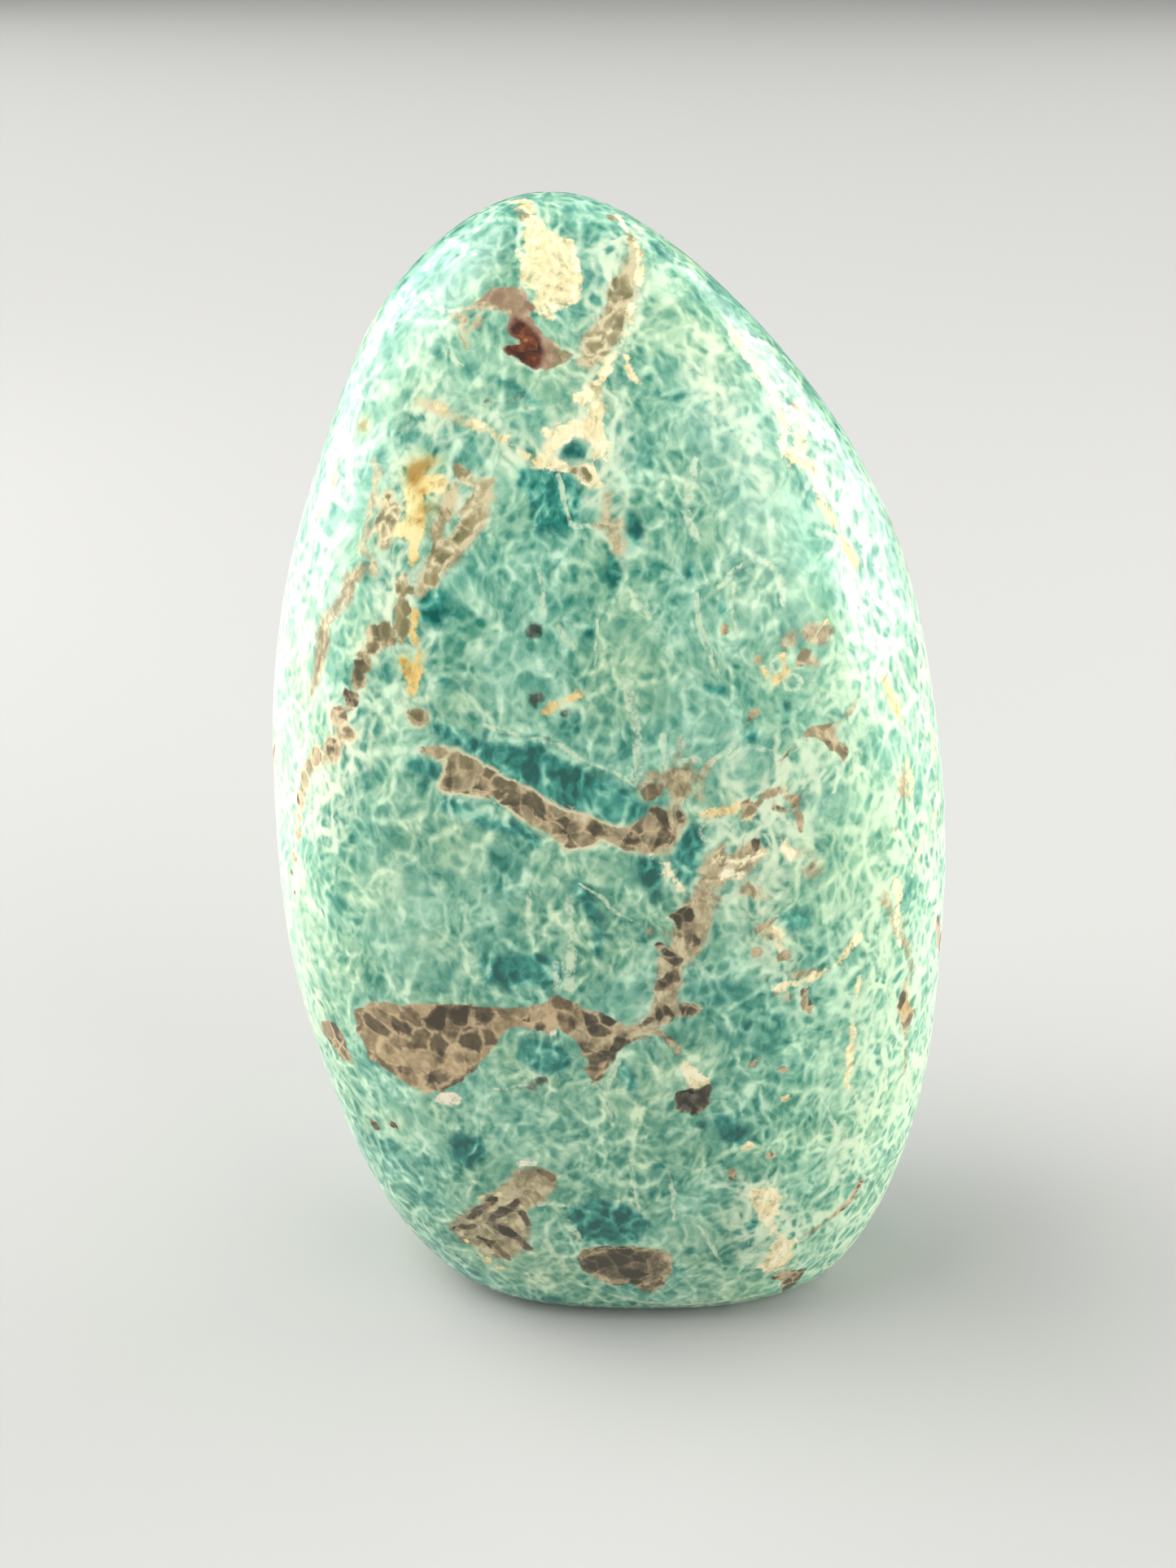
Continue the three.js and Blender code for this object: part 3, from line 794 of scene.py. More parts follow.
# Paler patches: the stone's own paler tone, and along the left and right margins, the upper right and the
# foot's rim also painted sheen where the polish mirrors the room and the softboxes.
PALE_AND_SHEEN_PATCHES = {
    "top": [(722, 300), (764, 296), (752, 340), (740, 378), (716, 384), (724, 350)],
    "above the triangle": [(1000, 830), (1045, 808), (1070, 835), (1068, 885), (1035, 875), (1005, 870)],
    "below the low left": [(446, 1322), (515, 1352), (548, 1372), (545, 1420), (500, 1430), (465, 1380)],
    "upper right": [
        (822, 372), (868, 400), (908, 450), (980, 570), (1020, 680), (1042, 860), (1010, 850), (960, 720),
        (905, 640), (860, 520), (835, 516),
    ],
    "brow": [(560, 420), (620, 452), (640, 470), (610, 485), (580, 470)],
    "left shoulder": [
        (560, 320), (600, 300), (610, 345), (560, 375), (540, 430), (500, 500), (470, 545), (436, 560),
        (452, 490), (500, 400),
    ],
    "left margin": [
        (430, 560), (462, 590), (452, 680), (430, 760), (405, 850), (392, 960), (372, 1060), (350, 1080),
        (348, 960), (362, 800), (392, 640),
    ],
    "foot rim": [
        (700, 1590), (760, 1598), (831, 1604), (900, 1597), (960, 1585), (960, 1574), (900, 1584),
        (831, 1590), (760, 1585),
    ],
    "left foot": [
        (360, 1180), (384, 1240), (430, 1370), (500, 1500), (480, 1500), (410, 1380), (364, 1240),
    ],
    "by the top vein": [(790, 330), (830, 360), (880, 420), (860, 470), (810, 450), (786, 410)],
    "right side": [
        (1000, 900), (1060, 900), (1090, 1000), (1080, 1120), (1040, 1180), (1010, 1120), (1030, 1010),
        (1000, 960),
    ],
    "right foot": [(1100, 1240), (1130, 1220), (1110, 1370), (1060, 1470), (1040, 1450), (1080, 1360)],
    "left of the pocket": [(806, 1290), (834, 1300), (836, 1330), (812, 1334)],
    "left, low": [
        (440, 1030), (500, 1040), (560, 1100), (560, 1170), (500, 1210), (450, 1180), (430, 1100),
    ],
}
RUST_PATCHES = {
    "upper quartz": [
        (626, 402), (634, 392), (648, 398), (658, 408), (664, 420), (668, 434), (664, 448), (654, 453),
        (642, 446), (620, 430), (622, 424), (638, 421), (628, 412),
    ],
}
RUST_BEADS = {  # rosy, short of iron
    "upper quartz": [
        (586, 372, -0.6), (600, 364, -0.4), (612, 358, -0.4), (614, 370, -0.4), (628, 356, -0.4),
        (630, 370, -0.4), (642, 366, -0.4), (648, 378, -0.4), (640, 384, -0.4),
    ],
}
OCHRE_PATCHES = {
    "left": [
        (499, 584), (500, 573), (509, 566), (524, 563), (535, 566), (528, 576), (520, 588), (514, 598),
        (505, 597), (500, 590),
    ],
}
OCHRE_BEADS = {
    "left": [
        (519, 604, 0.3), (523, 624, 0.45), (517, 640, 0.3), (446, 522, 0.4), (497, 813, 0.1),
        (508, 832, 0.05),
    ],
    "right": [(1115, 1238, 0.4)],
}
# Cream veils of albite; the left rim, right margin and upper right veils also carry painted sheen on the
# margins.
VEIL_AND_SHEEN_PATCHES = {
    "left brow": [(474, 482), (545, 470), (590, 515), (545, 560), (484, 560)],
    "upper right": [(832, 430), (900, 440), (932, 500), (962, 600), (930, 620), (884, 540), (842, 500)],
    "above the triangle": [
        (985, 835), (1010, 815), (1045, 800), (1078, 835), (1075, 900), (1040, 885), (1010, 880),
        (985, 870),
    ],
    "left chain": [
        (395, 850), (430, 830), (470, 850), (470, 920), (445, 980), (425, 1040), (385, 1044), (378, 930),
    ],
    "right margin": [
        (890, 390), (950, 440), (1010, 520), (1060, 620), (1100, 740), (1130, 860), (1150, 1000),
        (1150, 1150), (1135, 1290), (1100, 1420), (1050, 1500), (1000, 1560), (985, 1500), (1030, 1420),
        (1060, 1300), (1075, 1150), (1085, 1000), (1070, 860), (1030, 720), (975, 600), (940, 500),
    ],
    "crossing": [
        (880, 940), (900, 905), (960, 900), (1050, 890), (1060, 950), (1010, 1010), (1010, 1090),
        (960, 1110), (990, 1180), (1020, 1200), (990, 1260), (930, 1200), (905, 1120), (876, 1110),
        (880, 1050), (872, 990),
    ],
    "tree": [
        (700, 440), (745, 430), (775, 500), (770, 600), (790, 660), (760, 700), (730, 640), (680, 600),
        (630, 580), (560, 530), (545, 505), (600, 505), (660, 530), (690, 490),
    ],
    "left": [
        (470, 560), (500, 540), (600, 575), (610, 620), (560, 690), (530, 730), (520, 860), (490, 880),
        (480, 800), (455, 840), (430, 930), (400, 930), (430, 830), (450, 740), (455, 650),
    ],
    "top": [
        (620, 245), (680, 265), (720, 300), (790, 270), (800, 360), (780, 440), (740, 460), (700, 430),
        (720, 350), (640, 330), (640, 280),
    ],
    "left rim": [
        (400, 560), (430, 520), (440, 600), (415, 720), (395, 860), (375, 950), (365, 1100), (350, 1100),
        (352, 950), (365, 800), (380, 650),
    ],
    "band": [
        (820, 1060), (860, 1050), (940, 1010), (960, 1060), (930, 1110), (880, 1120), (850, 1180),
        (830, 1240), (800, 1280), (790, 1240), (815, 1170), (830, 1110),
    ],
    "foot": [(880, 1440), (960, 1440), (1000, 1500), (990, 1560), (930, 1575), (890, 1540)],
}
SOFT_EDGE = 3.0  # mm over which pale and veiled patches fade

# Markings on the sides and the back, each point by azimuth, height and half width.
HIDDEN_SMOKY = {
    "back seam": [
        (-128, 52, 0.5), (-140, 56, 1.2), (-152, 60, 2.0), (-164, 66, 1.4), (-174, 69, 2.2),
        (174, 74, 1.3), (162, 80, 1.8), (150, 84, 0.9), (138, 90, 0.5),
    ],
    "back seam, branch": [
        (-164, 66, 1.0), (-168, 54, 1.3), (-165, 44, 0.8), (-170, 33, 1.5), (-168, 25, 0.6),
    ],
    "back, upper": [(-150, 96, 0.5), (-160, 99, 1.3), (-172, 97, 1.7), (176, 100, 0.7)],
    "back, low patch": [(168, 24, 1.2), (158, 22, 2.4), (148, 25, 2.0), (141, 31, 0.8)],
    "back, grain": [(-142, 28, 1.1), (-139, 31, 0.9)],
    "back, foot grain": [(-158, 9, 1.3), (-150, 8, 1.1)],
    "right side seam": [
        (82, 88, 0.4), (88, 80, 0.9), (93, 70, 1.3), (101, 60, 0.7), (108, 52, 1.2), (112, 42, 0.5),
    ],
    "right side, low": [(96, 30, 0.8), (104, 25, 1.4), (113, 22, 0.8)],
    "left side seam": [(-78, 66, 0.7), (-86, 58, 1.2), (-92, 50, 0.8), (-98, 40, 1.3), (-103, 32, 0.5)],
    "left side, upper": [(-84, 92, 0.5), (-92, 86, 1.1), (-100, 83, 0.7)],
    "back, grains": [(-126, 88, 0.7), (-121, 82, 0.9)],
    "right side, grains": [(70, 48, 0.8), (75, 43, 1.0)],
    "left side, grains": [(-112, 37, 0.9), (-116, 33, 0.8)],
    "back, middle grain": [(150, 68, 1.1), (146, 66, 0.8)],
    "back, low grains": [(-128, 18, 1.0), (-122, 15, 0.8)],
}
HIDDEN_TAN = {
    "back seam": [
        (-136, 54, 0.9), (-148, 59, 2.4), (-158, 64, 1.8), (-170, 68, 2.6), (177, 72, 1.7),
        (164, 80, 2.4), (150, 85, 1.2),
    ],
    "back seam, branch": [(-166, 60, 1.3), (-168, 50, 1.8), (-167, 36, 1.9)],
    "back, low patch": [(160, 26, 2.6), (150, 28, 1.9)],
    "right side seam": [(88, 78, 1.2), (95, 66, 1.7), (106, 53, 1.5)],
    "left side seam": [(-84, 60, 1.4), (-95, 45, 1.3)],
    "back": [(-152, 60, 0.8), (-158, 50, 1.0), (-150, 42, 0.8)],
    "back, low": [(141, 31, 0.8), (134, 36, 1.0), (130, 43, 0.6)],
    "right side": [(93, 70, 0.8), (86, 62, 0.8)],
    "left side": [(-92, 50, 0.8), (-82, 42, 0.8)],
}
HIDDEN_CREAM = {
    "back patch": [(150, 58, 1.6), (144, 55, 2.2), (138, 51, 1.4)],
    "back, upper patch": [(170, 104, 1.4), (160, 105, 2.0), (150, 102, 1.0)],
    "back, low patch": [(-176, 16, 1.2), (-170, 14, 1.8), (-163, 16, 0.9)],
    "back, spot": [(-128, 74, 0.8), (-125, 78, 0.9)],
    "right side band": [(112, 42, 0.5), (120, 52, 0.7), (124, 66, 0.8), (134, 78, 0.5), (138, 90, 0.6)],
    "left side band": [(-100, 83, 0.5), (-110, 76, 0.8), (-116, 66, 0.6), (-126, 54, 0.5)],
    "back seam": [(-146, 60, 0.5), (-156, 66, 0.6), (-168, 72, 0.5), (176, 77, 0.6)],
    "back, low": [(148, 33, 0.6), (140, 38, 0.5), (134, 45, 0.5)],
}
HIDDEN_VEIL = {
    "back, right": [(120, 90, 2.5), (128, 70, 3.5), (124, 48, 3.0), (130, 30, 2.5)],
    "back, left": [(-130, 100, 2.5), (-128, 84, 3.0), (-120, 60, 3.0), (-134, 36, 3.0)],
    "back": [
        (-150, 97, 2.0), (-136, 76, 2.5), (-150, 62, 3.0), (176, 70, 3.5), (150, 60, 4.0), (142, 40, 3.0),
    ],
    "back, low": [(-172, 16, 3.5), (170, 22, 3.0)],
    "right side": [(88, 90, 2.0), (100, 68, 3.0), (116, 54, 3.0), (100, 34, 2.5)],
    "left side": [(-96, 84, 2.5), (-112, 70, 3.0), (-92, 48, 2.5), (-98, 28, 2.0)],
}
HIDDEN_THREADS = {
    "back": [
        (150, 84, 0.3), (146, 72, 0.3), (148, 62, 0.3), (140, 48, 0.3), (150, 36, 0.3), (156, 26, 0.3),
    ],
    "back, left": [(-140, 56, 0.3), (-134, 68, 0.3), (-138, 80, 0.3), (-146, 90, 0.3), (-152, 97, 0.3)],
    "back, low": [(-170, 33, 0.3), (178, 36, 0.3), (168, 42, 0.3), (156, 44, 0.3)],
    "right side": [(101, 60, 0.3), (92, 52, 0.3), (96, 40, 0.3), (97, 30, 0.3)],
    "left side": [(-92, 50, 0.3), (-84, 44, 0.3), (-88, 30, 0.3), (-96, 20, 0.3)],
}
HIDDEN_DEEP = {
    "back": [(-158, 72, 1.5), (-170, 78, 2.0), (178, 84, 1.4)],
    "back, low": [(160, 34, 1.5), (172, 32, 2.0), (-178, 28, 1.2)],
    "back, left": [(-146, 46, 1.8), (-152, 40, 1.4)],
    "right side": [(100, 72, 1.2), (110, 66, 1.6)],
    "left side": [(-108, 52, 1.5), (-104, 60, 1.2)],
}
HIDDEN_DARK = {
    "back seam": [(-152, 60, 0.9), (-150, 59, 0.7)],
    "back seam, middle": [(-176, 70, 1.0), (-172, 69, 0.8)],
    "back, low": [(158, 22, 1.1), (154, 23, 0.9)],
}
HIDDEN_RUST = {"back seam": [(164, 79, 0.8), (160, 81, 0.6)]}
HIDDEN_OCHRE = {
    "back patch": [(144, 55, 0.6), (150, 58, 0.4)],
    "left side": [(-110, 76, 0.5)],
}

FAR = 30.0  # mm; distances are kept under this
STRAY_STEP, STRAY_SIZE, STRAY = 1.5, 8.0, 3.2  # mm between a hidden vein's places, and how it wanders
STRAY_SEED = 5  # the same wander in every run
RIPPLE_SIZE, RIPPLE = 3.2, 0.45  # the finer stray: times as fine, and its share
SWELL = 1.1  # share of its half width by which a hidden vein swells and thins
THINNEST = 0.35
DEGREES_PER_MM = 2.0  # round the stone
FRONT_FACING = 0.05  # least share of a point's normal that looks at the camera, for it to count as seen


class Skin:
    """The stone's skin in millimetres, and the distance of its points from markings."""

    def __init__(self):
        self.points = skin_points()
        self.faces = skin_faces()
        self.normals = outward(self.points, self.faces)
        self.tree = BVHTree.FromPolygons(self.points.tolist(), self.faces)
        to_eye = eye - self.points
        to_eye /= np.linalg.norm(to_eye, axis=1, keepdims=True)
        self.seen = (self.normals * to_eye).sum(1) > FRONT_FACING
        self.in_frame = in_frame(self.points)
        noise.seed_set(STRAY_SEED)

    def under(self, across, down):
        """The point of the skin that shows at a point of the frame, or the nearest to one off the stone."""
        ray = ahead * FOCAL_POINTS
        ray = ray + np.array([across - FRAME_WIDTH / 2, 0, 0]) - upward * (down - FRAME_HEIGHT / 2)
        hit = self.tree.ray_cast(Vector(eye), Vector(ray).normalized())[0]
        if hit is None:
            return self.points[np.hypot(*(self.in_frame - (across, down)).T).argmin()]
        return np.array(hit)

    def line_offsets(self, start, end):
        """How far along a straight line every point's foot lies, from 0 to 1, and the way from there."""
        along = end - start
        share = np.clip((self.points - start) @ along / max(along @ along, 1e-9), 0, 1)
        return share, self.points - start - share[:, None] * along

    def from_line(self, places, half_widths):
        """The distance of every point from a line that is half_widths thick at its places."""
        nearest = np.full(len(self.points), FAR)
        if len(places) == 1:
            places, half_widths = places * 2, half_widths * 2
        for start, end, at_start, at_end in zip(places, places[1:], half_widths, half_widths[1:]):
            share, offset = self.line_offsets(start, end)
            away = np.linalg.norm(offset, axis=1)
            nearest = np.minimum(nearest, away - (at_start + (at_end - at_start) * share))
        return nearest

    def from_outline(self, outline):
        """The distance of every point from a patch's outline, below zero inside it."""
        places = [self.under(*place) for place in outline]
        away = self.from_line(places + places[:1], [0.0] * (len(places) + 1))
        inside = np.zeros(len(self.points), bool)
        across, down = self.in_frame.T
        for (x0, y0), (x1, y1) in zip(outline, outline[1:] + outline[:1]):
            if y0 != y1:
                crosses = (down < y0) != (down < y1)
                inside ^= crosses & (across < x0 + (x1 - x0) * (down - y0) / (y1 - y0))
        return np.where(inside & self.seen, -away, away)

    def strayed(self, vein):
        """A hidden vein's places on the skin and half widths, taken closely and strayed by smooth noise so
        that it wanders, swells and thins as a crack does."""
        azimuths, heights, half_widths = np.array(vein, float).T
        azimuths = np.degrees(np.unwrap(np.radians(azimuths)))
        corners = [around(*corner) for corner in zip(azimuths, heights)]
        run = np.cumsum([0] + [np.linalg.norm(end - start) for start, end in zip(corners, corners[1:])])
        places, widths = [], []
        for along in np.linspace(0, run[-1], int(run[-1] / STRAY_STEP) + 2):
            azimuth = np.interp(along, run, azimuths)
            height = np.interp(along, run, heights)
            half_width = np.interp(along, run, half_widths)
            spot = Vector((azimuth / DEGREES_PER_MM, height, 0)) / STRAY_SIZE
            stray = noise.noise_vector(spot) + noise.noise_vector(spot * RIPPLE_SIZE) * RIPPLE
            places.append(around(azimuth + stray.x * STRAY * DEGREES_PER_MM, height + stray.y * STRAY))
            widths.append(half_width * max(THINNEST, 1 + SWELL * stray.z))
        return places, widths

    def lines(self, veins, hidden):
        """Each vein's places on the skin with its half widths."""
        for vein in veins.values():
            yield [self.under(across, down) for across, down, _ in vein], [width for _, _, width in vein]
        for vein in hidden.values():
            yield self.strayed(vein)

    def from_markings(self, patches={}, veins={}, beads={}, hidden={}):
        """The distance of every point from the nearest of the markings."""
        nearest = np.full(len(self.points), FAR)
        for outline in patches.values():
            nearest = np.minimum(nearest, self.from_outline(outline))
        for places, half_widths in self.lines(veins, hidden):
            nearest = np.minimum(nearest, self.from_line(places, half_widths))
        for group in beads.values():
            for across, down, half_width in group:
                nearest = np.minimum(nearest, self.from_line([self.under(across, down)], [half_width]))
        return nearest

    def from_threads(self, threads, hidden):
        """Threads are narrower than the mesh is fine, so a thread is drawn where the side, which is how far
        a point lies to the left of it in half widths, passes through zero, and only near it."""
        nearest = np.full(len(self.points), FAR)
        side = np.full(len(self.points), FAR)
        for places, half_widths in self.lines(threads, hidden):
            for start, end, at_start, at_end in zip(places, places[1:], half_widths, half_widths[1:]):
                share, offset = self.line_offsets(start, end)
                away = np.linalg.norm(offset, axis=1)
                left = np.cross(self.normals, end - start)
                left /= np.linalg.norm(left, axis=1, keepdims=True) + 1e-9
                leftward = (offset * left).sum(1) / (at_start + (at_end - at_start) * share)
                closer = away < nearest
                nearest = np.where(closer, away, nearest)
                side = np.where(closer, leftward, side)
        return side, nearest


# ---------------------------------------------------------------- relief

# Depths, and where each starts and is full, in mm inside its edge.
POCKET_DEPTH, POCKET_SLOPE = 0.7, (-0.1, 0.8)
CRUMBLE_DEPTH, CRUMBLE_SLOPE = 0.45, (-0.2, 1.2)
CRUMBLE_GRAIN, CRUMBLE_FLATNESS, CRUMBLE_BED, CRUMBLE_REACH = 1.3, 1.4, 0.75, 0.5
PIT_DEPTH, PIT_SLOPE = 0.3, (0, 0.5)
VEIN_SINK, VEIN_SLOPE = 0.05, (-0.2, 0.3)  # smoky quartz and its rims polish a little below the feldspar
UNDULATION, UNDULATION_SIZE = 0.06, 14.0  # the hand-held stone's slow waves
FOOT_KEPT = (0.5, 6.0)  # height over which the waves set in, so that the foot's edge stays true


def waves(points, size):
    """Smooth noise between -1 and 1 at the points, with features of about this size."""
    return np.array([noise.noise(Vector(point) / size) for point in points])


def carved(skin, smoky, crumbled):
    """The skin's points, sunk where grains broke out and where soft minerals polished lower."""
    depth = np.zeros(len(skin.points))
    pocket = skin.from_outline(SMOKY_PATCHES["pocket"])
    depth += POCKET_DEPTH * smooth(-pocket, *POCKET_SLOPE)
    near = np.flatnonzero(crumbled < CRUMBLE_REACH)
    lumps = np.zeros(len(skin.points))
    lumps[near] = waves(skin.points[near] * (1, 1, CRUMBLE_FLATNESS), CRUMBLE_GRAIN)
    depth += CRUMBLE_DEPTH * smooth(-crumbled, *CRUMBLE_SLOPE) * (CRUMBLE_BED + lumps)
    for across, down, half_width in PITS.values():
        pit = skin.from_line([skin.under(across, down)], [half_width])
        depth += PIT_DEPTH * smooth(-pit, *PIT_SLOPE)
    depth += VEIN_SINK * smooth(-smoky, *VEIN_SLOPE)
    above_foot = smooth(skin.points[:, 2], *FOOT_KEPT)
    depth += UNDULATION * (1 + waves(skin.points, UNDULATION_SIZE)) * above_foot
    return skin.points - depth[:, None] * skin.normals


def stone_object():
    """The stone as a mesh in metres, with its markings' distances as attributes for its material."""
    skin = Skin()
    thread_side, thread_away = skin.from_threads(THREADS, HIDDEN_THREADS)
    markings = {
        "smoky": skin.from_markings(SMOKY_PATCHES, SMOKY_VEINS, SMOKY_BEADS, HIDDEN_SMOKY),
        "dark": skin.from_markings(DARK_PATCHES, DARK_VEINS, DARK_BEADS, HIDDEN_DARK),
        "pit": skin.from_markings(PIT_PATCHES, beads={"pits": PITS.values()}),
        "tan": skin.from_markings(TAN_PATCHES, TAN_VEINS, TAN_BEADS, HIDDEN_TAN),
        "cream": skin.from_markings(CREAM_PATCHES, CREAM_VEINS, CREAM_BEADS, HIDDEN_CREAM),
        "deep": skin.from_markings(DEEP_PATCHES, DEEP_VEINS, DEEP_BEADS, HIDDEN_DEEP),
        "pale": skin.from_markings(PALE_AND_SHEEN_PATCHES),
        "veil_and_sheen": skin.from_markings(VEIL_AND_SHEEN_PATCHES, hidden=HIDDEN_VEIL),
        "rust": skin.from_markings(RUST_PATCHES, beads=RUST_BEADS, hidden=HIDDEN_RUST),
        "ochre": skin.from_markings(OCHRE_PATCHES, beads=OCHRE_BEADS, hidden=HIDDEN_OCHRE),
        "thread_side": thread_side,
        "thread_away": thread_away,
    }
    crumbled = skin.from_outline(TAN_PATCHES["crumbled"])
    points = carved(skin, markings["smoky"], crumbled)
    mesh = bpy.data.meshes.new("amazonite_freeform")
    mesh.from_pydata((points * MM).tolist(), [], skin.faces)
    mesh.polygons.foreach_set("use_smooth", [True] * len(mesh.polygons))
    for name, distances in markings.items():
        mesh.attributes.new(name, "FLOAT", "POINT").data.foreach_set("value", distances.astype(np.float32))
    sharpen_foot(mesh)
    mesh.validate()
    stone = bpy.data.objects.new("amazonite_freeform", mesh)
    bpy.context.scene.collection.objects.link(stone)
    return stone


def sharpen_foot(mesh):
    """Marks the sawn foot's edge as sharp, so that the flat shades flat."""
    rim = FOOT_RINGS
    first, last = rim * SIDES, (rim + 1) * SIDES
    sharp = [all(first <= v < last for v in edge.vertices) for edge in mesh.edges]
    mesh.attributes.new("sharp_edge", "BOOLEAN", "EDGE").data.foreach_set("value", sharp)


# ---------------------------------------------------------------- materials


def linear(hex_colour):
    """An sRGB hex colour as linear RGBA."""
    channels = [int(hex_colour[i : i + 2], 16) / 255 for i in (1, 3, 5)]
    return (*[c / 12.92 if c <= 0.04045 else ((c + 0.055) / 1.055) ** 2.4 for c in channels], 1.0)


def put(tree, kind, inputs=(), stops={}, **settings):
    """Adds a shader node with its settings, its colour stops, and its links or values, and returns its
    first live output. Inputs are in the order of the node's live sockets, or named; None leaves one be."""
    node = tree.nodes.new("ShaderNode" + kind)
    for name, value in settings.items():
        setattr(node, name, value)
    for number, position in enumerate(sorted(stops)):
        elements = node.color_ramp.elements
        element = elements.new(position) if 0 < number < len(stops) - 1 else elements[-1 if number else 0]
        element.position = position
        element.color = linear(stops[position])
    live = [socket for socket in node.inputs if socket.enabled]
    named = inputs.items() if isinstance(inputs, dict) else zip([s.identifier for s in live], inputs)
    for name, value in named:
        socket = next(s for s in live if name in (s.identifier, s.name))
        if isinstance(value, bpy.types.NodeSocket):
            tree.links.new(value, socket)
        elif value is not None:
            socket.default_value = value
    return next((socket for socket in node.outputs if socket.enabled), None)


MARKINGS = (
    "smoky", "dark", "pit", "rust", "ochre", "tan", "cream", "veil_and_sheen", "pale", "deep", "thread_side",
    "thread_away",
)
SMOOTH = {"interpolation_type": "SMOOTHSTEP"}
PLUS, MINUS = {"operation": "ADD"}, {"operation": "SUBTRACT"}
TIMES, TIMES_PLUS = {"operation": "MULTIPLY"}, {"operation": "MULTIPLY_ADD"}
COLOURS = {"data_type": "RGBA"}
SMOKY, DARK, PIT, RUST, OCHRE, TAN, CREAM, VEIL, PALE, DEEP, THREAD_SIDE, THREAD_AWAY = [
    {"attribute_name": name} for name in MARKINGS
]

# Sizes in the stone, in mm.
SLOW_BEND, SLOW_BEND_SIZE = 3.0, 7.0
QUICK_BEND, QUICK_BEND_SIZE = 0.7, 1.3
LACE_SIZES = (  # size, the wall's look, its start and end as shares of the size, channel, strength
    (3.6, "DISTANCE_TO_EDGE", 0.13, 0.0, "Red", 0.36),
    (1.5, "DISTANCE_TO_EDGE", 0.3, 0.0, "Green", 0.3),
    (0.9, "F1", 0.15, 0.8, "Blue", 0.26),
)
LACE_AREA = 3.2  # where a size of lace comes and goes
FELDSPAR_GRAIN, CRUMB, CLOUD, PUFF, ZONE = 1.5, 0.7, 0.9, 2.4, 9.0
RAGGED_EDGE, FROST_AREA = 1.5, 11.0
QUARTZ_GRAIN, LOW_QUARTZ_GRAIN = 1.7, 2.3  # the grains low on the left are larger
ORANGE_PEEL, ORANGE_PEEL_SIZE = 0.05, 2.2

UPRIGHT = 0.72  # how wide a grain of feldspar is for its height
RIM_REACHES = (  # axis, from, to in mm, and the albite rim's strength there
    ("Z", 48.0, 58.0, (0.1, 0.95)),
    ("Z", 70.0, 78.0, (1.0, 0.1)),
    ("X", -8.0, -1.0, (1.0, 0.1)),
)
MICROCLINE_IOR = 1.53
POLISHED, SUGARY = 0.23, 0.36  # roughness


